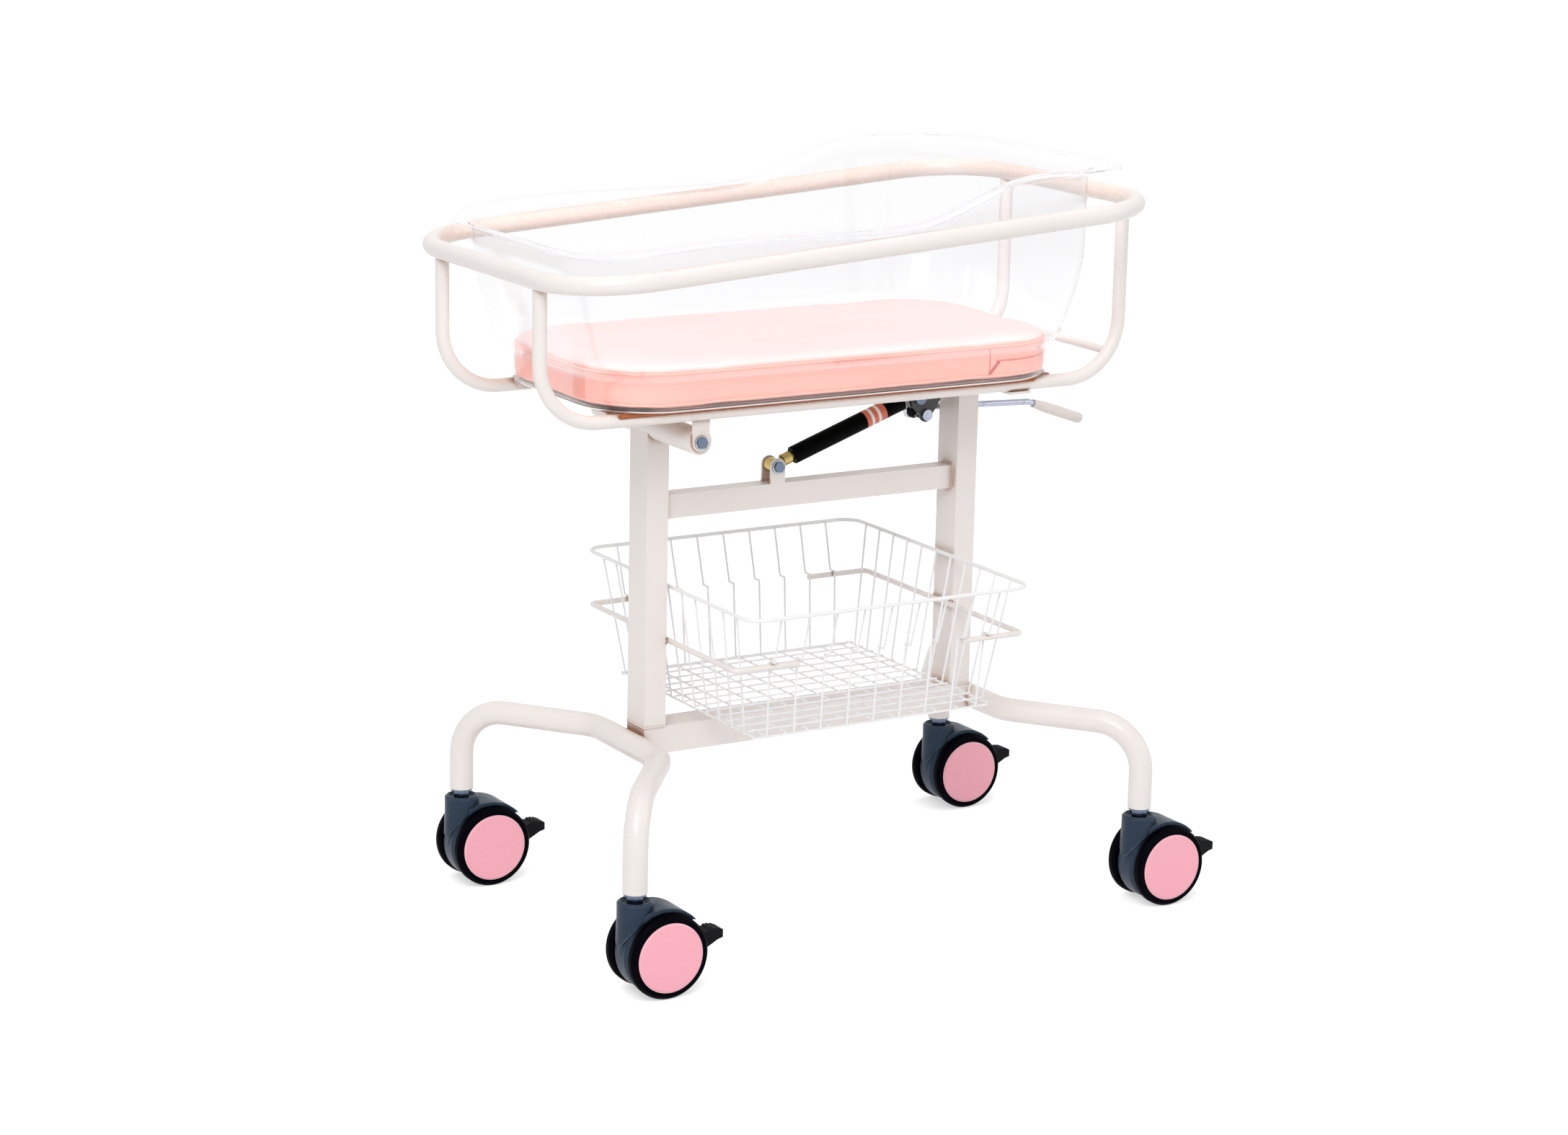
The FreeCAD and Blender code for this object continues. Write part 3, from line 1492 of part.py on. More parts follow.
def make_housing(name, spot):
    """Swivel housing: a drum and post round the stem, a spine between the wheels, a fender."""
    x_stem, y_stem = spot
    x_wheel = f"{x_stem} + caster_trail"
    clear = "wheel_radius + fender_gap"
    span = "2 * fender_half"
    half_spine = "spine_width / 2"
    fender = rod(
        f"fender_{name}",
        f"{clear} + fender_thickness",
        (f"{x_wheel} - fender_shift", f"{y_stem} - fender_half", "wheel_radius"),
        span,
        "Y",
    )
    body = new_body(f"fender_wedge_{name}")
    sketch = new_sketch(body, "XZ_Plane", "-fender_half")
    reach = "2 * wheel_radius"
    draw_polygon(
        sketch,
        [
            ("0", "0"),
            (f"{reach} * cos(fender_lip_angle * 1 deg)", f"{reach} * sin(fender_lip_angle * 1 deg)"),
            ("-caster_trail", reach),
            ("-caster_trail", "0"),
        ],
    )
    pad(body, sketch, span)
    place(body, (x_wheel, y_stem, "wheel_radius"))
    arch = common(f"arch_{name}", fender, body)
    shell = join(f"shell_{name}", [make_drum(name, spot), arch])
    well_start = (x_wheel, f"{y_stem} - {span}", "wheel_radius")
    well = rod(f"wheel_well_{name}", clear, well_start, f"2 * {span}", "Y")
    upper = cut(f"upper_{name}", shell, well)
    post_start = (x_stem, y_stem, "wheel_radius")
    post = rod(f"post_{name}", half_spine, post_start, "housing_top / 2 - housing_dish_depth")
    rib_disc = rod(
        f"rib_disc_{name}",
        f"{clear} + fender_thickness / 4",
        (x_wheel, f"{y_stem} - {half_spine}", "wheel_radius"),
        "spine_width",
        "Y",
    )
    rib = common(f"rib_{name}", rib_disc, body)
    whole = join(f"housing_solid_{name}", [upper, make_spine(name, x_wheel, y_stem), post, rib])
    bore = rod(
        f"stem_bore_{name}",
        "stem_radius + running_clearance",
        (x_stem, y_stem, "housing_top - stem_bore_inside"),
        "stem_bore_inside",
    )
    axle_bore = rod(
        f"axle_bore_{name}",
        "axle_radius + running_clearance",
        (x_wheel, f"{y_stem} - spine_width", "wheel_radius"),
        "2 * spine_width",
        "Y",
    )
    x_pivot = f"{x_stem} + pedal_pivot_x"
    half_slot = "pedal_tongue / 2 + side_gap"
    slot = box(
        f"pedal_slot_{name}",
        (f"{x_pivot} - pedal_slot_back", f"{y_stem} - ({half_slot})", "pedal_pivot_z - pedal_slot_drop"),
        (f"{x_pivot} + pedal_slot_reach", f"{y_stem} + {half_slot}", "pedal_pivot_z + pedal_slot_rise"),
    )
    pin = rod(
        f"pedal_pin_bore_{name}",
        "pedal_pin_radius + running_clearance",
        (x_pivot, f"{y_stem} - spine_width", "pedal_pivot_z"),
        "2 * spine_width",
        "Y",
    )
    underside = box(
        f"underside_{name}",
        (f"{x_wheel} - spine_radius", f"{y_stem} - spine_width", "0"),
        (f"{x_wheel} + spine_radius", f"{y_stem} + spine_width", "spine_bottom"),
    )
    holes = join(f"housing_holes_{name}", [bore, axle_bore, slot, pin, underside])
    finish(cut(f"housing_{name}", whole, holes), f"caster_housing_{name}")


# the pedal's tongue and pad seen from the side, and the grooves across the pad, as
# distances from its pivot along X and Z
PEDAL_TONGUE = ((-5, -5), (18, -9.5), (20, -9.5), (20, 4.5), (-5, 5))
PEDAL_PAD = (
    (16, -10),
    (24, -11.5),
    (40, -3),
    (48, -1),
    (50, 2),
    (47, 8),
    (40, 11),
    (32, 12),
    (24, 9),
    (16, 4),
)
PEDAL_GROOVES = ((28, 10.5), (33, 11.9), (38, 11.3))


def pedal_outline(points):
    """A side view of the pedal as sketch points measured from the stem."""
    return [(f"pedal_pivot_x + {along}", f"pedal_pivot_z + {up}") for along, up in points]


def make_pedal(name, spot):
    """Brake pedal: a tongue in the housing's slot on its own trunnions, and a grooved pad."""
    x_stem, y_stem = spot
    x_pivot = f"{x_stem} + pedal_pivot_x"
    body = new_body(f"pedal_body_{name}")
    sketch = new_sketch(body, "XZ_Plane", "-pedal_tongue / 2")
    draw_polygon(sketch, pedal_outline(PEDAL_TONGUE))
    pad(body, sketch, "pedal_tongue")
    sketch = new_sketch(body, "XZ_Plane", "-pedal_width / 2")
    draw_polygon(sketch, pedal_outline(PEDAL_PAD))
    pad(body, sketch, "pedal_width")
    place(body, (x_stem, y_stem, "0"))
    nose_x = f"{x_pivot} + pedal_reach - pedal_nose_radius"
    nose = rod(f"pedal_nose_{name}", "pedal_nose_radius", (nose_x, y_stem, "0"), "2 * pedal_pivot_z")
    straight = box(
        f"pedal_straight_{name}",
        (f"{x_stem} + caster_trail", f"{y_stem} - pedal_width / 2", "0"),
        (nose_x, f"{y_stem} + pedal_width / 2", "2 * pedal_pivot_z"),
    )
    shaped = common(f"pedal_shaped_{name}", body, join(f"pedal_plan_{name}", [straight, nose]))
    grooves = [
        rod(
            f"pedal_groove_{index}_{name}",
            "pedal_groove_radius",
            (f"{x_pivot} + {along}", f"{y_stem} - pedal_width", f"pedal_pivot_z + {up}"),
            "2 * pedal_width",
            "Y",
        )
        for index, (along, up) in enumerate(PEDAL_GROOVES)
    ]
    grooved = cut(f"pedal_grooved_{name}", shaped, join(f"pedal_groove_set_{name}", grooves))
    trunnion = rod(
        f"trunnion_{name}",
        "pedal_pin_radius",
        (x_pivot, f"{y_stem} - spine_width / 2", "pedal_pivot_z"),
        "spine_width",
        "Y",
    )
    finish(join(f"pedal_{name}", [grooved, trunnion]), f"brake_pedal_{name}")


def make_casters():
    for name, spot in caster_spots():
        make_housing(name, spot)
        make_wheels(name, spot)
        make_pedal(name, spot)


# ---------------------------------------------------------------- build and export

make_columns()
make_legs()
make_mid_bar()
make_spring_clevis()
make_pivot_tube()
make_basket_carriers()
make_rest_pad()
make_caster_mounts()
make_lower_bolt()
make_cradle_tubes()
make_pivot_tabs()
make_support_tray()
make_rest_strap()
make_spring_bracket()
make_gas_cylinder()
make_release_head()
make_release_lever()
make_tub()
make_mattress()
make_basket()
make_casters()

doc.recompute()

for item in doc.Objects:
    if "Invalid" in item.State or "Error" in item.State:
        raise RuntimeError(f"{item.Name} failed: {item.State}")

os.makedirs("parts", exist_ok=True)
for item in nodes:
    shape = item.Shape
    if shape.isNull() or not shape.isValid() or not shape.Solids:
        raise RuntimeError(f"{item.Label} has no valid solid")
    shape.exportStep(f"parts/{item.Label}.step")
    print(f"{item.Label}: {len(shape.Solids)} solids, {shape.Volume:.0f} mm3")
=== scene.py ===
"""Finishes, clear tub, mattress, welds, stage and camera of a tilting hospital bassinet.

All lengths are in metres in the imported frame: +X towards the head end, +Z up, the floor at Z 0.
"""

import logging
import math
from collections.abc import Callable, Iterator, Sequence
from contextlib import contextmanager
from dataclasses import dataclass, field
from enum import Enum
from functools import partial
from typing import ClassVar

import bmesh
import bpy
from mathutils import Matrix, Vector


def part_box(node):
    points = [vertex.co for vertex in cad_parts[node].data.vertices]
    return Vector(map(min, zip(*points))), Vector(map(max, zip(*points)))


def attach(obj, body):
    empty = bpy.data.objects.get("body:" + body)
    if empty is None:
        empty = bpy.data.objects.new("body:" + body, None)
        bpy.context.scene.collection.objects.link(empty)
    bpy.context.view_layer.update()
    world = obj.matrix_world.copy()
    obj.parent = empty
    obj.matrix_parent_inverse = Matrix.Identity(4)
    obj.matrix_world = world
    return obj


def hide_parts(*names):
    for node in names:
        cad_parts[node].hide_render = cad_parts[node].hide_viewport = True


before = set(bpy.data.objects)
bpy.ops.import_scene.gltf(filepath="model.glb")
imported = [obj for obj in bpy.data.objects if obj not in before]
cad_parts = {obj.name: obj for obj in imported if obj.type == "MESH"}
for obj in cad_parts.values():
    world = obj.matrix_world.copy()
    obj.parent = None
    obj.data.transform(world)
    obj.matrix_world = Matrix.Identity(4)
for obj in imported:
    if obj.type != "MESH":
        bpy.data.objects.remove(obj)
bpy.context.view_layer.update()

log = logging.getLogger("bassinet")

Colour = tuple[float, float, float, float]
Point = tuple[float, float, float]
Socket = bpy.types.NodeSocket

TAU = 2 * math.pi
CASTERS = ("fl", "bl", "fr", "br")


def paint(red: int, green: int, blue: int) -> Colour:
    """A linear colour, with full alpha, from display values of 0 to 255."""
    parts = [value / 255 for value in (red, green, blue)]
    linear = [p / 12.92 if p <= 0.04045 else ((p + 0.055) / 1.055) ** 2.4 for p in parts]
    return (*linear, 1.0)


def shade(colour: Colour, factor: float) -> Colour:
    """A colour made darker or lighter by one factor."""
    return (*(min(1.0, part * factor) for part in colour[:3]), 1.0)


# ---------------------------------------------------------------- node wiring


class Wiring:
    """Adds and joins the nodes of one tree."""

    def __init__(self, tree: bpy.types.NodeTree) -> None:
        """Start on a tree."""
        self.tree = tree

    def node(self, kind: str, inputs: dict | None = None, **settings: object) -> bpy.types.Node:
        """Add one node.

        Args:
            kind: The node's type without its ShaderNode prefix.
            inputs: Values or sockets for the node's inputs, by name or index.
            **settings: Properties of the node.

        Returns:
            The new node.
        """
        made = self.tree.nodes.new(f"ShaderNode{kind}")
        for name, value in settings.items():
            setattr(made, name, value)
        self.feed_all(made, inputs or {})
        return made

    def feed(self, socket: Socket, value: object) -> None:
        """Link a socket to another, or set its plain value."""
        if isinstance(value, bpy.types.NodeSocket):
            self.tree.links.new(value, socket)
        else:
            socket.default_value = value

    def feed_all(self, node: bpy.types.Node, values: dict) -> None:
        """Feed several of a node's inputs, by name or index."""
        for name, value in values.items():
            self.feed(node.inputs[name], value)

    def place(self) -> Socket:
        """The piece's own coordinates."""
        return self.node("TexCoord").outputs["Object"]

    def stretched(self, vector: Socket, scale: Point) -> Socket:
        """A vector with its three parts scaled."""
        return self.node("Mapping", {"Vector": vector, "Scale": scale}).outputs["Vector"]

    def noise(self, vector: Socket, scale: object, detail: float = 2.0) -> Socket:
        """Noise from 0 to 1 at a scale in features per metre."""
        made = self.node("TexNoise", {"Vector": vector, "Scale": scale, "Detail": detail})
        return made.outputs["Fac"]

    def maths(self, operation: str, first: object, second: object = 0.0) -> Socket:
        """One Math node's result."""
        return self.node("Math", {0: first, 1: second}, operation=operation).outputs[0]

    def times(self, first: object, second: object) -> Socket:
        """The product of two values."""
        return self.maths("MULTIPLY", first, second)

    def ramp(self, value: object, low: object, high: object, to: tuple = (0.0, 1.0)) -> Socket:
        """A value mapped smoothly from one span to another."""
        spans = {"From Min": low, "From Max": high, "To Min": to[0], "To Max": to[1]}
        made = self.node("MapRange", {"Value": value} | spans, interpolation_type="SMOOTHSTEP")
        return made.outputs["Result"]

    def patches(
        self, scale: object, detail: float, low: float, high: float, to: tuple = (0.0, 1.0)
    ) -> Socket:
        """Noise on the piece's own coordinates, with the span that is given mapped from 0 to 1."""
        return self.ramp(self.noise(self.place(), scale, detail), low, high, to)

    def upward(self) -> Socket:
        """How far a face points up, from -1 to 1."""
        own = self.node("NewGeometry").outputs["Normal"]
        return self.node("SeparateXYZ", {0: own}).outputs["Z"]

    def blend(self, factor: object, first: object, second: object) -> Socket:
        """Two colours mixed by a factor."""
        return self.node("Mix", {0: factor, 6: first, 7: second}, data_type="RGBA").outputs[2]

    def bump(self, height: object, distance: float) -> Socket:
        """A normal from a height from 0 to 1 that is a distance deep in metres."""
        return self.node("Bump", {"Height": height, "Distance": distance}).outputs["Normal"]


def cleared(owner: bpy.types.Material | bpy.types.World) -> Wiring:
    """The wiring of a material or a world, with its first nodes removed."""
    owner.use_nodes = True
    owner.node_tree.nodes.clear()
    return Wiring(owner.node_tree)


# ---------------------------------------------------------------- shared effects


class EffectGroup:
    """A shader node group: built once, and placed in each material with its own values."""

    name: ClassVar[str]
    inputs: ClassVar[dict[str, float]]
    outputs: ClassVar[tuple[str, ...]]

    @classmethod
    def fill(cls, wiring: Wiring, given: dict[str, Socket]) -> dict[str, Socket]:
        """Wire the group from its input sockets, and return what feeds each of its outputs."""
        raise NotImplementedError

    @classmethod
    def tree(cls) -> bpy.types.NodeTree:
        """The effect's node group, made on first use."""
        made = bpy.data.node_groups.get(cls.name)
        if made:
            return made
        made = bpy.data.node_groups.new(cls.name, "ShaderNodeTree")
        for name, value in cls.inputs.items():
            socket = made.interface.new_socket(name, in_out="INPUT", socket_type="NodeSocketFloat")
            socket.default_value = value
        for name in cls.outputs:
            made.interface.new_socket(name, in_out="OUTPUT", socket_type="NodeSocketFloat")
        enter = made.nodes.new("NodeGroupInput")
        leave = made.nodes.new("NodeGroupOutput")
        wiring = Wiring(made)
        given = {name: enter.outputs[name] for name in cls.inputs}
        for name, socket in cls.fill(wiring, given).items():
            wiring.feed(leave.inputs[name], socket)
        return made

    @classmethod
    def put(cls, wiring: Wiring, **values: float) -> dict[str, Socket]:
        """Place the effect in a material.

        Args:
            wiring: The material's tree.
            **values: Values of the group's inputs, with their spaces as underscores.

        Returns:
            The group's outputs by name.
        """
        made = wiring.node("Group", node_tree=cls.tree())
        for name, value in values.items():
            wiring.feed(made.inputs[name.replace("_", " ").capitalize()], value)
        return {name: made.outputs[name] for name in cls.outputs}

    @classmethod
    def mask(cls, wiring: Wiring, amount: float, **values: float) -> Socket:
        """Place the effect and return its mask at a share of its strength."""
        return wiring.times(cls.put(wiring, **values)["Mask"], amount)


class CoatPeel(EffectGroup):
    """Powder coat: a fine ripple over a slow one, and a slow drift of shade."""

    name = "coat_peel"
    inputs = {"Fine scale": 700.0, "Slow scale": 160.0}
    outputs = ("Height", "Drift")

    @classmethod
    def fill(cls, wiring: Wiring, given: dict[str, Socket]) -> dict[str, Socket]:
        """Two sizes of noise for the height, and a large one for the shade."""
        place = wiring.place()
        fine = wiring.noise(place, given["Fine scale"])
        slow = wiring.noise(place, given["Slow scale"], 1.0)
        height = wiring.maths("ADD", wiring.times(fine, 0.4), slow)
        return {"Height": height, "Drift": wiring.noise(place, 7.0, 3.0)}


class EdgeWearAndHighlight(EffectGroup):
    """Lighter edges, partly worn and partly a painted highlight: where the rounded normal leaves
    the real one, broken up by noise.
    """

    name = "edge_wear_and_highlight"
    inputs = {"Radius": 0.001, "Break scale": 120.0}
    outputs = ("Mask",)

    @classmethod
    def fill(cls, wiring: Wiring, given: dict[str, Socket]) -> dict[str, Socket]:
        """Compare the bevelled normal with the surface's own."""
        rounded = wiring.node("Bevel", {"Radius": given["Radius"]}, samples=4).outputs["Normal"]
        own = wiring.node("NewGeometry").outputs["Normal"]
        match = wiring.node("VectorMath", {0: rounded, 1: own}, operation="DOT_PRODUCT")
        edge = wiring.ramp(wiring.maths("SUBTRACT", 1.0, match.outputs["Value"]), 0.02, 0.22)
        return {"Mask": wiring.times(edge, wiring.patches(given["Break scale"], 4.0, 0.35, 0.62))}


class Crevice(EffectGroup):
    """Painted shade in corners and joints: how much of the surroundings a point can't see."""

    name = "crevice_painted_shade"
    inputs = {"Reach": 0.004}
    outputs = ("Mask",)

    @classmethod
    def fill(cls, wiring: Wiring, given: dict[str, Socket]) -> dict[str, Socket]:
        """The closed share of the near surroundings, broken up by noise."""
        near = wiring.node("AmbientOcclusion", {"Distance": given["Reach"]}, samples=8)
        closed = wiring.ramp(wiring.maths("SUBTRACT", 1.0, near.outputs["AO"]), 0.08, 0.6)
        return {"Mask": wiring.times(closed, wiring.patches(260.0, 3.0, 0.2, 0.6, (0.6, 1.0)))}


class Dust(EffectGroup):
    """Dust that settles on what faces up, in soft patches."""

    name = "settled_dust"
    inputs = {"Patch scale": 40.0}
    outputs = ("Mask",)

    @classmethod
    def fill(cls, wiring: Wiring, given: dict[str, Socket]) -> dict[str, Socket]:
        """The upward part of the normal times noise."""
        facing = wiring.ramp(wiring.upward(), 0.3, 1.0)
        return {"Mask": wiring.times(facing, wiring.patches(given["Patch scale"], 5.0, 0.3, 0.75))}


class MouldGrain(EffectGroup):
    """Fine spark-eroded grain of a moulding, with a slow unevenness of gloss."""

    name = "mould_grain"
    inputs = {"Grain scale": 1500.0, "Sink scale": 60.0}
    outputs = ("Height", "Gloss")

    @classmethod
    def fill(cls, wiring: Wiring, given: dict[str, Socket]) -> dict[str, Socket]:
        """Cells for the grain, and noise for the gloss."""
        place = wiring.place()
        cells = wiring.node("TexVoronoi", {"Vector": place, "Scale": given["Grain scale"]})
        gloss = wiring.noise(place, given["Sink scale"], 3.0)
        return {"Height": cells.outputs["Distance"], "Gloss": gloss}


class BrushStreaks(EffectGroup):
    """Drawn or brushed metal: noise stretched along one axis."""

    name = "brush_streaks"
    inputs = {"Along x": 60.0, "Along y": 60.0, "Along z": 900.0}
    outputs = ("Height",)

    @classmethod
    def fill(cls, wiring: Wiring, given: dict[str, Socket]) -> dict[str, Socket]:
        """One noise whose three scales are the inputs."""
        scale = wiring.node(
            "CombineXYZ", {"X": given["Along x"], "Y": given["Along y"], "Z": given["Along z"]}
        ).outputs[0]
        spread = wiring.node("VectorMath", {0: wiring.place(), 1: scale}, operation="MULTIPLY")
        return {"Height": wiring.noise(spread.outputs[0], 1.0, 3.0)}


class CoverWeave(EffectGroup):
    """Plain weave under a soft coating: threads crossing in plan, and along the walls."""

    name = "cover_weave"
    inputs = {"Threads": 1100.0}
    outputs = ("Height", "Crumple")

    @classmethod
    def fill(cls, wiring: Wiring, given: dict[str, Socket]) -> dict[str, Socket]:
        """Sines along the three axes, summed in pairs, and a slow crumple."""
        place = wiring.place()
        parts = wiring.node("SeparateXYZ", {0: place}).outputs
        pitch = wiring.times(given["Threads"], TAU)
        waves = [wiring.maths("SINE", wiring.times(parts[axis], pitch)) for axis in "XYZ"]
        weave = wiring.maths("ADD", wiring.times(waves[0], waves[1]), waves[2])
        crumple = wiring.noise(wiring.stretched(place, (9.0, 22.0, 30.0)), 1.0, 4.0)
        return {"Height": wiring.ramp(weave, -2.0, 2.0), "Crumple": crumple}


# ---------------------------------------------------------------- finishes


@dataclass(frozen=True)
class Finish:
    """What every finish has: its name, its colour and its gloss."""

    name: str
    colour: Colour
    roughness: float = 0.4
    gloss: float = field(default=0.5, kw_only=True)

    def material(self) -> bpy.types.Material:
        """The finish as a material, made on first use."""
        made = bpy.data.materials.get(self.name)
        if made:
            return made
        made = bpy.data.materials.new(self.name)
        made.diffuse_color = self.colour
        wiring = cleared(made)
        plain = {"Base Color": self.colour, "Roughness": self.roughness}
        shader = wiring.node("BsdfPrincipled", plain | {"Specular IOR Level": self.gloss})
        self.wire(wiring, shader)
        wiring.node("OutputMaterial", {"Surface": self.surface(wiring, shader)})
        return made

    def wire(self, wiring: Wiring, shader: bpy.types.Node) -> None:
        """Add the finish's own detail to its Principled shader."""
        raise NotImplementedError

    def surface(self, wiring: Wiring, shader: bpy.types.Node) -> Socket:
        """What the material shows: the shader, unless a finish mixes it with another."""
        return shader.outputs["BSDF"]


# Brown painted shade round the frame's joints: reach in metres, strength and colour.
JOINT_PAINTED_SHADE = ((0.06, 0.6, paint(204, 172, 152)), (0.012, 0.8, paint(150, 92, 58)))


@dataclass(frozen=True)
class PowderCoat(Finish):
    """Baked powder paint on steel: a soft ripple, and a trace of dust on top."""

    peel_depth: float = 0.00006
    dust: float = 0.05
    # Strength of the brown painted shade round joints.
    painted_shade: float = 0.0

    def wire(self, wiring: Wiring, shader: bpy.types.Node) -> None:
        """Ripple for the normal; drift, dust and brown painted shade in the joints for the colour.
        """
        peel = CoatPeel.put(wiring)
        drift = wiring.ramp(peel["Drift"], 0.3, 0.7)
        colour = wiring.blend(drift, shade(self.colour, 0.975), self.colour)
        colour = wiring.blend(Dust.mask(wiring, self.dust), colour, paint(196, 190, 182))
        # Painted shade: brown darkening round joints, by ambient occlusion.
        if self.painted_shade:
            for reach, amount, brown in JOINT_PAINTED_SHADE:
                painted_shade = Crevice.mask(wiring, amount * self.painted_shade, reach=reach)
                colour = wiring.blend(painted_shade, colour, brown)
        rough = wiring.ramp(peel["Drift"], 0.3, 0.7, (self.roughness * 0.85, self.roughness * 1.2))
        normal = wiring.bump(peel["Height"], self.peel_depth)
        wiring.feed_all(shader, {"Base Color": colour, "Roughness": rough, "Normal": normal})


@dataclass(frozen=True)
class PlatedMetal(Finish):
    """Plated or polished metal with drawn streaks, and duller patches where hands and tools go."""

    streak_depth: float = 0.00001
    along: Point = (60.0, 60.0, 900.0)
    tarnish: Colour = paint(120, 116, 108)

    def wire(self, wiring: Wiring, shader: bpy.types.Node) -> None:
        """Streaks for the normal, patches for the colour and roughness."""
        x_scale, y_scale, z_scale = self.along
        streaks = BrushStreaks.put(wiring, along_x=x_scale, along_y=y_scale, along_z=z_scale)
        patches = wiring.patches(220.0, 4.0, 0.45, 0.8, (0.0, 0.35))
        colour = wiring.blend(patches, self.colour, self.tarnish)
        # Painted shade: almost black in crevices, by ambient occlusion.
        painted_shade = Crevice.mask(wiring, 0.9, reach=0.003)
        colour = wiring.blend(painted_shade, colour, shade(self.tarnish, 0.12))
        rough = wiring.ramp(patches, 0.0, 0.35, (self.roughness, self.roughness + 0.16))
        normal = wiring.bump(streaks["Height"], self.streak_depth)
        wiring.feed_all(shader, {"Metallic": 1.0, "Base Color": colour})
        wiring.feed_all(shader, {"Roughness": rough, "Normal": normal})


@dataclass(frozen=True)
class Moulded(Finish):
    """Moulded plastic or rubber: grain, edges lighter by wear and painted highlight, painted shade
    in crevices, a little dust.
    """

    grain_scale: float = 1500.0
    grain_depth: float = 0.00004
    edge: Colour = paint(150, 160, 170)
    edge_amount: float = 0.5
    dust: float = 0.12
    mottle: float = 0.05

    def wire(self, wiring: Wiring, shader: bpy.types.Node) -> None:
        """Grain for the normal; edges lightened by wear and painted highlight, painted shade in
        crevices and dust for the colour; gloss for roughness.
        """
        grain = MouldGrain.put(wiring, grain_scale=self.grain_scale)
        drift = wiring.ramp(grain["Gloss"], 0.3, 0.7)
        dark, light = (shade(self.colour, 1 + side * self.mottle) for side in (-1, 1))
        colour = wiring.blend(drift, dark, light)
        # Lighter edges: rubbed wear together with a painted highlight.
        worn_and_highlit = EdgeWearAndHighlight.mask(wiring, self.edge_amount, radius=0.0012)
        colour = wiring.blend(worn_and_highlit, colour, self.edge)
        # Painted shade: darker in crevices, by ambient occlusion.
        painted_shade = Crevice.mask(wiring, 0.75, reach=0.005)
        colour = wiring.blend(painted_shade, colour, shade(self.colour, 0.15))
        dust = Dust.mask(wiring, self.dust, patch_scale=90.0)
        colour = wiring.blend(dust, colour, paint(168, 165, 160))
        span = (self.roughness * 0.85, self.roughness * 1.15)
        rough = wiring.ramp(grain["Gloss"], 0.3, 0.7, span)
        normal = wiring.bump(grain["Height"], self.grain_depth)
        wiring.feed_all(shader, {"Base Color": colour, "Roughness": rough, "Normal": normal})


@dataclass(frozen=True)
class ClearMoulding(Finish):
    """Clear moulded plastic: slow ripples from the mould, and faint handling haze."""

    ripple_depth: float = 0.0006
    ior: float = 1.01
    clearness: float = 0.985

    def wire(self, wiring: Wiring, shader: bpy.types.Node) -> None:
        """Slow ripples bend the highlights, and haze roughens them in patches."""
        wiring.feed_all(shader, {"Transmission Weight": self.clearness, "IOR": self.ior})
        wiring.feed_all(shader, {"Coat Weight": 1.0, "Coat Roughness": self.roughness})
        ripples = wiring.noise(wiring.stretched(wiring.place(), (14.0, 14.0, 3.0)), 1.0, 1.0)
        rough = wiring.patches(28.0, 4.0, 0.45, 0.8, (self.roughness, self.roughness + 0.05))
        normal = wiring.bump(ripples, self.ripple_depth)
        wiring.feed_all(shader, {"Roughness": rough, "Normal": normal})

    def surface(self, wiring: Wiring, shader: bpy.types.Node) -> Socket:
        """Let lamps through, so that what is inside keeps its light."""
        shadow = wiring.node("LightPath").outputs["Is Shadow Ray"]
        through = wiring.node("BsdfTransparent", {"Color": (0.99, 0.99, 0.99, 1)}).outputs["BSDF"]
        mixed = wiring.node("MixShader", {0: shadow, 1: shader.outputs["BSDF"], 2: through})
        return mixed.outputs["Shader"]


@dataclass(frozen=True)
class CoatedCloth(Finish):
    """Wipe-clean mattress cover: woven cloth under a thin coating, with painted light that makes it
    paler on top.
    """

    # Painted light: the paler colour of faces that look up, as if lit from above.
    top: Colour = paint(252, 228, 226)
    weave_depth: float = 0.00008
    crumple_depth: float = 0.0022
    gloss: float = field(default=0.15, kw_only=True)

    def wire(self, wiring: Wiring, shader: bpy.types.Node) -> None:
        """Weave and crumple for the normal; painted light on the paler top and painted shade in the
        crumple's hollows.
        """
        weave = CoverWeave.put(wiring)
        # Painted light: faces that look up blend to the paler top colour.
        painted_light_top = wiring.ramp(wiring.upward(), 0.35, 0.85)
        colour = wiring.blend(painted_light_top, self.colour, self.top)
        # Painted shade: the crumple's hollows are a little darker.
        fold_shade = wiring.ramp(weave["Crumple"], 0.3, 0.7)
        colour = wiring.blend(fold_shade, wiring.blend(0.07, colour, paint(226, 120, 116)), colour)
        threads = wiring.times(weave["Height"], 0.06)
        colour = wiring.blend(threads, colour, shade(self.colour, 0.8))
        crumple = {"Height": weave["Crumple"], "Distance": self.crumple_depth}
        fine = wiring.bump(weave["Height"], self.weave_depth)
        normal = wiring.node("Bump", crumple | {"Normal": fine}).outputs["Normal"]
        wiring.feed_all(shader, {"Base Color": colour, "Normal": normal})
        wiring.feed_all(shader, {"Sheen Weight": 0.06, "Sheen Roughness": 0.5})


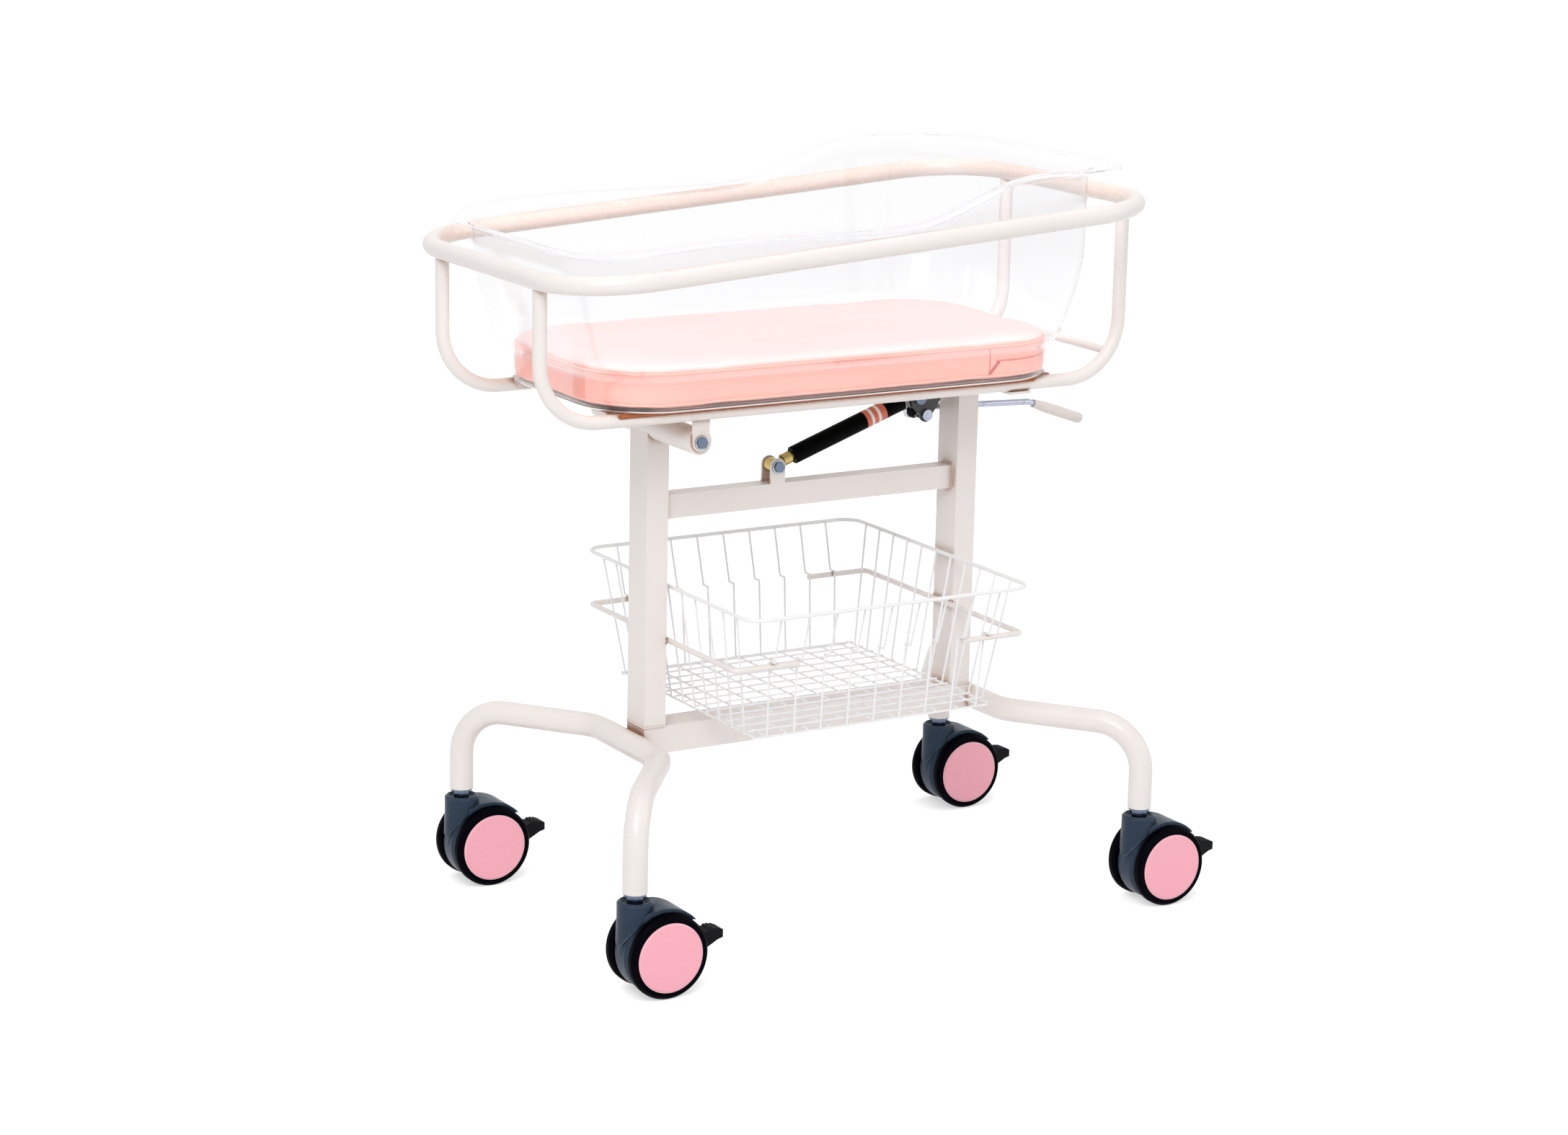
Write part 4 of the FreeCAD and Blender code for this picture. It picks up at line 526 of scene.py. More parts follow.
class Look(Enum):
    """The finishes of the bassinet."""

    CREAM = PowderCoat("cream_powder_coat", paint(237, 231, 228), 0.3, painted_shade=1.0)
    STRAP = PowderCoat("cream_strap_coat", paint(237, 231, 228), 0.3)
    WIRE = PowderCoat("white_wire_coat", paint(243, 243, 244), 0.28, 0.00003)
    BLUE_ZINC = PlatedMetal("blue_zinc_plate", paint(106, 120, 140), 0.26)
    WASHER = PlatedMetal("pale_zinc_plate", paint(182, 188, 196), 0.3)
    # Painted shadow: brown beads that stand for the warm contact shade under the tub.
    STRIP = Moulded(
        "brown_rest_strip", paint(176, 100, 58), 0.6, 900.0, 0.00005, paint(206, 140, 96), 0.4, 0.0,
        gloss=0.2,
    )
    STEM = PlatedMetal("dull_stem_plate", paint(96, 110, 130), 0.22)
    GOLD_ZINC = PlatedMetal(
        "yellow_zinc_plate", paint(196, 172, 108), 0.3, tarnish=paint(120, 140, 96)
    )
    CHROME = PlatedMetal("chrome_plate", paint(168, 172, 188), 0.12, 0.000004, (500.0, 60.0, 500.0))
    SILVER = PlatedMetal(
        "machined_block", paint(190, 190, 194), 0.32, 0.00002, (80.0, 900.0, 900.0)
    )
    SPRING = PowderCoat("black_cylinder_paint", paint(3, 3, 3), 0.36, 0.00003, 0.0, gloss=0.03)
    BRACKET = PowderCoat("dark_grey_paint", paint(72, 70, 72), 0.36, 0.00004, 0.06, gloss=0.3)
    GRIP = Moulded(
        "cream_grip", paint(228, 219, 215), 0.42, 900.0, 0.00003, paint(250, 246, 240), 0.3, 0.04
    )
    CLEAR = ClearMoulding("clear_tub_moulding", paint(247, 247, 248), 0.02)
    # Painted highlights: paler, less clear bands where the ledges and the floor's rounded edge
    # catch light.
    CLEAR_LEDGE = ClearMoulding("clear_tub_ledge", paint(246, 246, 248), 0.03, clearness=0.86)
    CLEAR_EDGE = ClearMoulding("clear_tub_edge", paint(250, 244, 240), 0.05, clearness=0.0)
    # Each cloth's top colour is painted light on its faces that look up.
    COVER = CoatedCloth("pink_mattress_cover", paint(248, 172, 158), 0.52)
    PIPING = CoatedCloth(
        "pink_piping", paint(248, 176, 158), 0.5, paint(252, 210, 200), 0.00006, 0.0003
    )
    BAND = CoatedCloth(
        "pink_side_band", paint(240, 142, 122), 0.55, paint(242, 150, 132), 0.0001, 0.0004
    )
    ZIP = CoatedCloth("zip_tape", paint(214, 118, 100), 0.55, paint(222, 130, 112), 0.0001, 0.0002)
    PULLER = CoatedCloth(
        "zip_puller_tape", paint(178, 84, 92), 0.6, paint(184, 92, 98), 0.0001, 0.0002
    )
    SLATE = Moulded(
        "slate_housing", paint(42, 57, 75), 0.36, 800.0, 0.00014, paint(128, 148, 168), 0.7, 0.05,
        gloss=0.14,
    )
    TYRE = Moulded(
        "black_tyre", paint(2, 2, 7), 0.5, 700.0, 0.00006, paint(26, 30, 52), 0.4, 0.0, gloss=0.02
    )
    DISC = Moulded(
        "pink_disc", paint(248, 174, 189), 0.3, 1600.0, 0.00002, paint(255, 222, 230), 1.0,
        dust=0.0, mottle=0.004,
    )
    # Painted highlight: the pale ring at each disc's edge.
    DISC_RIM = Moulded(
        "pale_disc_rim", paint(254, 212, 222), 0.3, 1600.0, 0.00002, dust=0.0, mottle=0.01
    )
    PAD = Moulded(
        "black_pad", paint(8, 9, 13), 0.5, 800.0, 0.00006, paint(60, 64, 74), 0.4, 0.0, gloss=0.1
    )
    SOCKET = Moulded(
        "grey_socket", paint(120, 122, 124), 0.5, 900.0, 0.00005, paint(160, 160, 160), 0.3
    )
    LABEL = PowderCoat("plain_label_film", paint(244, 236, 230), 0.4, 0.00001, 0.0)
    LABEL_STRIPE = PowderCoat("plain_label_stripe", paint(216, 110, 84), 0.4, 0.00001, 0.0)


def dress(look: Look, *nodes: str) -> None:
    """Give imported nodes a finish."""
    material = look.value.material()
    for name in nodes:
        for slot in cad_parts[name].material_slots:
            slot.material = material


# ---------------------------------------------------------------- modelling helpers


def select_only(*pieces: bpy.types.Object) -> None:
    """Deselect everything, then select these pieces and make the last one active."""
    bpy.ops.object.select_all(action="DESELECT")
    for piece in pieces:
        piece.select_set(True)
        bpy.context.view_layer.objects.active = piece


def named(name: str) -> bpy.types.Object:
    """Name the piece that an operator has just made."""
    piece = bpy.context.object
    piece.name = name
    piece.data.name = name
    return piece


def primitive(add: Callable, name: str, **settings: object) -> bpy.types.Object:
    """Add one of Blender's primitives with nothing else selected, and name it."""
    bpy.ops.object.select_all(action="DESELECT")
    add(**settings)
    return named(name)


@contextmanager
def editing(piece: bpy.types.Object) -> Iterator[None]:
    """Edit mode on one piece, with nothing else selected."""
    select_only(piece)
    bpy.ops.object.mode_set(mode="EDIT")
    yield
    bpy.ops.object.mode_set(mode="OBJECT")


@contextmanager
def drawing(piece: bpy.types.Object) -> Iterator[bmesh.types.BMesh]:
    """The mesh of a piece in edit mode, with changes to it shown at the end."""
    drawn = bmesh.from_edit_mesh(piece.data)
    yield drawn
    bmesh.update_edit_mesh(piece.data)


def modify(piece: bpy.types.Object, kind: str, **settings: object) -> None:
    """Add a modifier with some settings to a piece, and apply it."""
    select_only(piece)
    made = piece.modifiers.new(kind.lower(), kind)
    for name, value in settings.items():
        setattr(made, name, value)
    bpy.ops.object.modifier_apply(modifier=made.name)


def smooth(piece: bpy.types.Object, angle: float = 40.0) -> None:
    """Shade a piece smooth, with an edge where faces meet at more than an angle."""
    select_only(piece)
    bpy.ops.object.shade_smooth_by_angle(angle=math.radians(angle))


def put(
    piece: bpy.types.Object, body: str, look: Look, replaces: Sequence[str] = ()
) -> None:
    """Bake a finished piece's place into its mesh, give it its finish and let it ride.

    Args:
        piece: The finished piece.
        body: The body that carries it.
        look: Its finish.
        replaces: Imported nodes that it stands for.
    """
    select_only(piece)
    bpy.ops.object.transform_apply(location=True, rotation=True, scale=True)
    piece.data.materials.clear()
    piece.data.materials.append(look.value.material())
    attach(piece, body)
    if replaces:
        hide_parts(*replaces)
    log.info("%s: %d faces, rides on %s", piece.name, len(piece.data.polygons), body)


def joined(name: str, pieces: Sequence[bpy.types.Object]) -> bpy.types.Object:
    """Join pieces into one mesh."""
    select_only(*pieces)
    bpy.ops.object.join()
    return named(name)


def rectangle(low: Sequence[float], high: Sequence[float]) -> list[tuple[float, float]]:
    """The corners of a rectangle, in order."""
    return [(low[0], low[1]), (high[0], low[1]), (high[0], high[1]), (low[0], high[1])]


def rounded(
    corners: Sequence[tuple[float, float]], radii: Sequence[float], arc: int, side: int
) -> list[Vector]:
    """Points (x, y) round a level polygon with rounded corners.

    Args:
        corners: The corners in order.
        radii: The radius at each corner.
        arc: Steps in each corner's arc.
        side: Steps along each side.
    """
    count = len(corners)
    arcs = []
    for index in range(count):
        corner = Vector(corners[index])
        back = (Vector(corners[index - 1]) - corner).normalized()
        ahead = (Vector(corners[(index + 1) % count]) - corner).normalized()
        half = back.angle(ahead) / 2
        centre = corner + (back + ahead).normalized() * radii[index] / math.sin(half)
        start = corner + back * radii[index] / math.tan(half) - centre
        sweep = math.pi - 2 * half
        turn = math.copysign(sweep, back.cross(ahead) * -1)
        arcs.append([centre + rotated(start, turn * step / arc) for step in range(arc + 1)])
    points = []
    for index in range(count):
        points += arcs[index]
        first = arcs[index][-1]
        last = arcs[(index + 1) % count][0]
        points += [first.lerp(last, step / side) for step in range(1, side)]
    return points


def rotated(vector: Vector, angle: float) -> Vector:
    """A level vector turned by an angle."""
    cosine, sine = math.cos(angle), math.sin(angle)
    return Vector((vector.x * cosine - vector.y * sine, vector.x * sine + vector.y * cosine))


def lofted(name: str, rings: Sequence[Sequence[Vector]]) -> bpy.types.Object:
    """An open sheet through rings of equally many points, extruded from one ring to the next."""
    add = bpy.ops.mesh.primitive_circle_add
    piece = primitive(add, name, vertices=len(rings[0]), radius=1)
    with editing(piece):
        with drawing(piece) as drawn:
            order = drawn.verts.layers.int.new("order")
            for index, vertex in enumerate(drawn.verts):
                vertex[order] = index
        for number, ring in enumerate(rings):
            if number:
                bpy.ops.mesh.extrude_region_move()
            with drawing(piece) as drawn:
                order = drawn.verts.layers.int["order"]
                for vertex in drawn.verts:
                    if vertex.select:
                        vertex.co = ring[vertex[order]]
    return piece


def close_first_ring(piece: bpy.types.Object, count: int, insets: Sequence[float]) -> None:
    """Fill the first ring, which has a count of points, and inset the fill for even quads."""
    with editing(piece):
        bpy.ops.mesh.select_all(action="DESELECT")
        with drawing(piece) as drawn:
            drawn.verts.ensure_lookup_table()
            for vertex in drawn.verts[:count]:
                vertex.select = True
            drawn.select_flush(True)
        bpy.ops.mesh.edge_face_add()
        for inset in insets:
            bpy.ops.mesh.inset(thickness=inset)


def bevel_edges(
    piece: bpy.types.Object, wanted: Callable[[bmesh.types.BMEdge], bool], offset: float, steps: int
) -> None:
    """Round the edges that pass a test, in edit mode."""
    bpy.ops.mesh.select_all(action="DESELECT")
    with drawing(piece) as drawn:
        for edge in drawn.edges:
            edge.select = wanted(edge)
    bpy.ops.mesh.bevel(offset=offset, segments=steps, affect="EDGES")


def upright(edge: bmesh.types.BMEdge) -> bool:
    """Whether an edge stands up."""
    return abs((edge.verts[0].co - edge.verts[1].co).z) > 0.02


def bounds_flat(edge: bmesh.types.BMEdge, way: int) -> bool:
    """Whether an edge bounds a flat face that looks up (way 1) or down (way -1)."""
    return sum(face.normal.z * way > 0.9 for face in edge.link_faces) == 1


def tube_through(
    name: str, points: Sequence[Vector], radius: float, closed: bool, ripple: float = 0.0
) -> bpy.types.Object:
    """A round bar through points, as a mesh.

    Args:
        name: The piece's name.
        points: The points it follows.
        radius: Its radius.
        closed: Whether it runs back to its start.
        ripple: How much thinner every other point is, as a share.
    """
    drawn = bpy.data.curves.new(name, "CURVE")
    drawn.dimensions = "3D"
    drawn.bevel_depth = radius
    drawn.bevel_resolution = 2
    drawn.use_fill_caps = not closed
    spline = drawn.splines.new("POLY")
    spline.points.add(len(points) - 1)
    for index, (spot, point) in enumerate(zip(spline.points, points)):
        spot.co = (*point, 1)
        spot.radius = 1 - ripple * (index % 2)
    spline.use_cyclic_u = closed
    piece = bpy.data.objects.new(name, drawn)
    bpy.context.scene.collection.objects.link(piece)
    select_only(piece)
    bpy.ops.object.convert(target="MESH")
    return named(name)


# ---------------------------------------------------------------- clear tub


@dataclass
class ClearTub:
    """The clear moulded tub: a well for the mattress, flared walls and a rolled rim."""

    wall: float = 0.003
    floor_z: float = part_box("basin_tub")[0].z
    well_top: float = 0.038
    foot_z: float = 0.722
    waist_z: float = 0.820
    well: tuple = (0.356, 0.280, 0.160, 0.160, 0.092, 0.092)
    foot: tuple = (0.374, 0.290, 0.176, 0.176, 0.086, 0.086)
    waist: tuple = (0.391, 0.306, 0.190, 0.190, 0.086, 0.086)
    rim: tuple = (0.402, 0.352, 0.228, 0.215, 0.095, 0.120)
    rim_foot_z: float = 0.8615
    rim_head_z: float = 0.914
    rise: tuple[float, float] = (-0.005, 0.190)
    droop_start: float = -0.200
    droop: float = 0.020
    droop_run: float = 0.212
    lip: float = 0.005
    fillet: float = 0.010
    flare: float = 0.014
    roll: float = 0.0035
    edge_band: float = 0.0042
    floor_insets: tuple[float, ...] = (0.02, 0.03, 0.04)
    arc_steps: int = 14
    side_steps: int = 14

    def outline(self, spans: tuple, inset: float = 0.0) -> list[Vector]:
        """A level outline of the tub, as points (x, y).

        Args:
            spans: Reach to the foot, reach to the head, half width at each, corner at each.
            inset: How far it is drawn in.
        """
        left, right, foot_half, head_half, foot_corner, head_corner = (s - inset for s in spans)
        corners = [(-left, -foot_half), (right, -head_half), (right, head_half), (-left, foot_half)]
        radii = [foot_corner, head_corner, head_corner, foot_corner]
        return rounded(corners, radii, self.arc_steps, self.side_steps)

    def rim_height(self, x_spot: float) -> float:
        """Height of the rim at one x: a droop at the foot, then a rise to the head."""
        if x_spot < self.droop_start:
            radius = (self.droop_run**2 + self.droop**2) / (2 * self.droop)
            run = self.droop_start - x_spot
            return self.rim_foot_z - radius + math.sqrt(radius**2 - run**2)
        start, end = self.rise
        share = min(1.0, max(0.0, (x_spot - start) / (end - start)))
        climb = self.rim_head_z - self.rim_foot_z
        return self.rim_foot_z + climb * (0.5 - 0.5 * math.cos(math.pi * share))

    def between(self, low: tuple, high: tuple, share: float) -> tuple:
        """Spans part of the way from one outline to another, fast at first."""
        mix = math.sin(share * math.pi / 2)
        return tuple(a + (b - a) * mix for a, b in zip(low, high))

    def level(self, spans: tuple, height: float, inset: float) -> list[Vector]:
        """One level ring."""
        return [Vector((p.x, p.y, height)) for p in self.outline(spans, inset)]

    def rings(self) -> list[list[Vector]]:
        """The rings of the tub's middle surface, from its floor's edge to the lip's end."""
        half = self.wall / 2
        low = self.floor_z + half
        rings = []
        for step in range(5):
            angle = step / 4 * math.pi / 2
            draw_in = half + self.fillet * (1 - math.sin(angle))
            rings.append(self.level(self.well, low + self.fillet * (1 - math.cos(angle)), draw_in))
        shoulder_z = self.floor_z + self.well_top
        rings.append(self.level(self.well, (low + self.fillet + shoulder_z) / 2, half))
        rings.append(self.level(self.well, shoulder_z, half))
        for share in (0.25, 0.5, 0.75, 1.0):
            height = shoulder_z + (self.foot_z - shoulder_z) * share
            rings.append(self.level(self.between(self.well, self.foot, share), height, half))
        for share in (0.2, 0.4, 0.6, 0.8, 1.0):
            height = self.foot_z + (self.waist_z - self.foot_z) * share
            rings.append(self.level(self.between(self.foot, self.waist, share), height, half))
        return rings + self.rim_rings(half)

    def rim_rings(self, half: float) -> list[list[Vector]]:
        """The rings of the rolled rim: up the wall, out over the flange and down the lip."""
        wall = self.outline(self.waist, half)
        edge = self.outline(self.rim, half)
        stations = [("wall", 0.0), ("wall", 0.5)]
        stations += [("flare", step / 5) for step in range(6)]
        stations += [("flange", 0.5)]
        stations += [("roll", step / 4) for step in range(5)]
        stations += [("lip", 1.0)]
        rings = []
        for kind, share in stations:
            ring = []
            for start, end in zip(wall, edge):
                way = end - start
                out, drop = self.rim_station(kind, share, way.length)
                spot = start + way.normalized() * out
                height = self.rim_height(spot.x) - half - drop
                if kind == "wall":
                    height = self.waist_z + (height - self.waist_z) * (0.4 + 0.6 * share)
                ring.append(Vector((spot.x, spot.y, height)))
            rings.append(ring)
        return rings

    def rim_station(self, kind: str, share: float, reach: float) -> tuple[float, float]:
        """How far out from the wall a point of the rim lies, and how far below the rim's top."""
        flare = min(self.flare, 0.6 * reach)
        roll = min(self.roll, 0.3 * reach)
        sine, cosine = math.sin(share * math.pi / 2), math.cos(share * math.pi / 2)
        if kind == "wall":
            return 0.0, flare
        if kind == "flare":
            return flare * (1 - cosine), flare * (1 - sine)
        if kind == "flange":
            return flare + (reach - roll - flare) * share, 0.0
        if kind == "roll":
            return reach - roll * (1 - sine), roll * (1 - cosine)
        return reach, self.lip

    def build(self) -> None:
        """Model the tub as one clear shell."""
        rings = self.rings()
        piece = lofted("clear_tub", rings)
        close_first_ring(piece, len(rings[0]), self.floor_insets)
        with editing(piece):
            bpy.ops.mesh.select_all(action="SELECT")
            bpy.ops.mesh.normals_make_consistent(inside=False)
        modify(piece, "SOLIDIFY", thickness=self.wall, offset=0.0)
        modify(piece, "SUBSURF", levels=1, render_levels=1)
        smooth(piece, 60)
        put(piece, "tub", Look.CLEAR, ["basin_tub"])
        self.mark_painted_highlights(piece)

    def mark_painted_highlights(self, piece: bpy.types.Object) -> None:
        """Give the flange, the foot of the shoulder and the floor's rim their paler finishes,
        painted highlights where these catch light.
        """
        for look in (Look.CLEAR_LEDGE, Look.CLEAR_EDGE):
            piece.data.materials.append(look.value.material())
        shoulder = self.floor_z + self.well_top
        step = (self.foot_z - shoulder) / 4
        for face in piece.data.polygons:
            height = face.center.z
            flange = height > self.waist_z and abs(face.normal.z) > 0.5
            if flange or shoulder < height < shoulder + step:
                face.material_index = 1
            elif height < self.floor_z + self.edge_band and abs(face.normal.z) < 0.97:
                face.material_index = 2


# ---------------------------------------------------------------- mattress


@dataclass
class Mattress:
    """The pink mattress: a foam block in a coated cover, with piped edges and a darker strip on the
    side.
    """

    left: float = 0.3515
    right: float = 0.2755
    half: float = 0.1555
    corner: float = 0.0875
    low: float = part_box("mattress")[0].z
    high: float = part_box("mattress")[1].z
    slack: float = 0.001
    top_edge: float = 0.009
    bottom_edge: float = 0.003
    voxel: float = 0.005
    frames: int = 20
    pressure: float = 4.0
    cap: float = 0.004
    crown: float = 0.004
    piping: float = 0.0012
    piping_drop: float = 0.009
    piping_rise: float = 0.0035
    band_ends: tuple[float, float] = (-0.088, -0.059)
    band_margin: float = 0.005
    band_rows: int = 9
    zip_corner: tuple[float, float] = (0.162, -0.09)
    stitch_x: float = 0.156
    stitch_rise: float = 0.006
    puller_size: Point = (0.020, 0.0012, 0.0036)
    puller_spot: tuple[float, float] = (0.007, -0.008)
    puller_tilt: float = math.radians(-47)

    def outline(self, inset: float, arc: int = 12, side: int = 16) -> list[Vector]:
        """The mattress's plan, drawn in by an inset."""
        left, right, half = (s - inset for s in (self.left, self.right, self.half))
        corners = rectangle((-left, -half), (right, half))
        return rounded(corners, [self.corner - inset] * 4, arc, side)

    def block(self) -> bpy.types.Object:
        """The foam block: a box with its upright edges rounded and its other edges softened."""
        middle = Vector(((self.right - self.left) / 2, 0, (self.low + self.high) / 2))
        add = bpy.ops.mesh.primitive_cube_add
        piece = primitive(add, "mattress_cover", size=1, location=middle)
        span = (self.left + self.right, 2 * self.half, self.high - self.low)
        piece.scale = [s - 2 * self.slack for s in span]
        bpy.ops.object.transform_apply(location=True, rotation=True, scale=True)
        with editing(piece):
            bpy.ops.mesh.select_mode(type="EDGE")
            bevel_edges(piece, upright, self.corner - self.slack, 12)
            bevel_edges(piece, partial(bounds_flat, way=1), self.top_edge, 4)
            bevel_edges(piece, partial(bounds_flat, way=-1), self.bottom_edge, 4)
        return piece

    def stuff(self, piece: bpy.types.Object) -> None:
        """Blow the cover up with the cloth simulation, and cap how far each point moves."""
        modify(piece, "REMESH", mode="VOXEL", voxel_size=self.voxel)
        start = [vertex.co.copy() for vertex in piece.data.vertices]
        select_only(piece)
        made = piece.modifiers.new("cloth", "CLOTH")
        cloth = made.settings
        cloth.use_pressure = True
        cloth.uniform_pressure_force = self.pressure
        cloth.effector_weights.gravity = 0.0
        cloth.quality = 5
        cloth.tension_stiffness = cloth.compression_stiffness = 20
        cloth.bending_stiffness = 2
        made.point_cache.frame_start = 1
        made.point_cache.frame_end = self.frames
        scene = bpy.context.scene
        for number in range(1, self.frames + 1):
            scene.frame_set(number)
        bpy.ops.object.modifier_apply(modifier=made.name)
        scene.frame_set(1)
        for vertex, rest in zip(piece.data.vertices, start):
            move = vertex.co - rest
            if move.length > self.cap:
                vertex.co = rest + move * (self.cap / move.length)

    def fit(self, piece: bpy.types.Object) -> None:
        """Stretch the cover to its space: flat below, crowned above, off the tub's walls."""
        foot, head = self.corner - self.left, self.right - self.corner
        side = self.half - self.corner
        spots = [vertex.co for vertex in piece.data.vertices]
        top = max(spot.z for spot in spots)
        ends = ((-self.left, self.right), (-self.half, self.half), (self.low, top))
        spans = [(min(s[axis] for s in spots), max(s[axis] for s in spots)) for axis in range(3)]
        for spot in spots:
            for axis, (start, end) in enumerate(spans):
                share = (spot[axis] - start) / (end - start)
                spot[axis] = ends[axis][0] + (ends[axis][1] - ends[axis][0]) * share
            near = Vector((min(max(spot.x, foot), head), min(max(spot.y, -side), side)))
            out = Vector((spot.x, spot.y)) - near
            if out.length > self.corner:
                out = out.normalized() * self.corner
                spot.x, spot.y = near.x + out.x, near.y + out.y
            spot.z = min(max(spot.z, self.low), self.high + self.crown)

    def on_cover(
        self, cover: bpy.types.Object, points: Sequence[Vector], height: float
    ) -> list[Vector]:
        """Points (x, y) near the cover's side, moved onto it at a height."""
        found = []
        for point in points:
            _, spot, normal, _ = cover.closest_point_on_mesh(Vector((point.x, point.y, height)))
            found.append(spot + normal * 0.0003)
        return found

    def seam(self, name: str, cover: bpy.types.Object, height: float) -> None:
        """A line of piping round the cover's edge."""
        points = self.on_cover(cover, self.outline(0.0), height)
        self.trim(tube_through(name, points, self.piping, True), Look.PIPING)

    def trim(self, piece: bpy.types.Object, look: Look) -> None:
        """Finish a piece of trim and let it ride on the mattress."""
        smooth(piece)
        put(piece, "mattress_pad", look)

    def build(self) -> None:
        """Make the cover, its piping, its darker side strip and its zip."""
        piece = self.block()
        self.stuff(piece)
        self.fit(piece)
        modify(piece, "SMOOTH", factor=0.5, iterations=3)
        modify(piece, "SUBSURF", levels=1, render_levels=1)
        smooth(piece, 180)
        put(piece, "mattress_pad", Look.COVER, ["mattress"])
        self.seam("mattress_piping_top", piece, self.high - self.piping_drop)
        self.seam("mattress_piping_bottom", piece, self.low + self.piping_rise)
        self.side_band(piece)
        self.zip_fastener(piece)

    def side_band(self, cover: bpy.types.Object) -> None:
        """A darker strip laid upright on the cover's side, near the foot."""
        start, end = self.band_ends
        outline = self.outline(0.0, 24, 60)
        near = [p for p in outline if p.x < 0.02 - self.left and start < p.y < end]
        near.sort(key=lambda p: p.y)
        count, steps = len(near), self.band_rows - 1
        add = bpy.ops.mesh.primitive_grid_add
        piece = primitive(
            add, "mattress_side_band", x_subdivisions=count - 1, y_subdivisions=steps, size=1
        )
        rise = self.high - self.low - 2 * self.band_margin
        with editing(piece), drawing(piece) as drawn:
            for index, vertex in enumerate(drawn.verts):
                row, column = divmod(index, count)
                height = self.low + self.band_margin + rise * (row / steps)
                vertex.co = (near[column].x, near[column].y, height)
        modify(piece, "SHRINKWRAP", target=cover, offset=0.0004)
        modify(piece, "SOLIDIFY", thickness=0.0007, offset=0.0)
        self.trim(piece, Look.BAND)

    def zip_fastener(self, cover: bpy.types.Object) -> None:
        """The zip round the head corner, its end stitch and its puller."""
        zip_x, zip_y = self.zip_corner
        around = [p for p in self.outline(0.0, 16, 40) if p.x > zip_x and p.y < zip_y]
        around.sort(key=lambda p: (p.x, p.y))
        middle = (self.low + self.high) / 2
        line = tube_through("zip", self.on_cover(cover, around, middle), 0.0011, False, 0.3)
        start = Vector((self.stitch_x, -self.half))
        heights = [self.low + self.stitch_rise + 0.004 * step for step in range(10)]
        spots = [self.on_cover(cover, [start], height)[0] for height in heights]
        stitch = tube_through("stitch", spots, 0.0007, False)
        self.trim(joined("mattress_zip", [line, stitch]), Look.ZIP)
        ahead, rise = self.puller_spot
        side = self.on_cover(cover, [start], middle + rise)[0].y
        add = bpy.ops.mesh.primitive_cube_add
        spot = (self.stitch_x + ahead, side, middle + rise)
        puller = primitive(
            add, "mattress_zip_puller", size=1, location=spot, rotation=(0, self.puller_tilt, 0)
        )
        puller.scale = self.puller_size
        bpy.ops.object.transform_apply(location=False, rotation=False, scale=True)
        modify(puller, "BEVEL", width=0.0005, segments=2)
        self.trim(puller, Look.PULLER)


# ---------------------------------------------------------------- metalwork


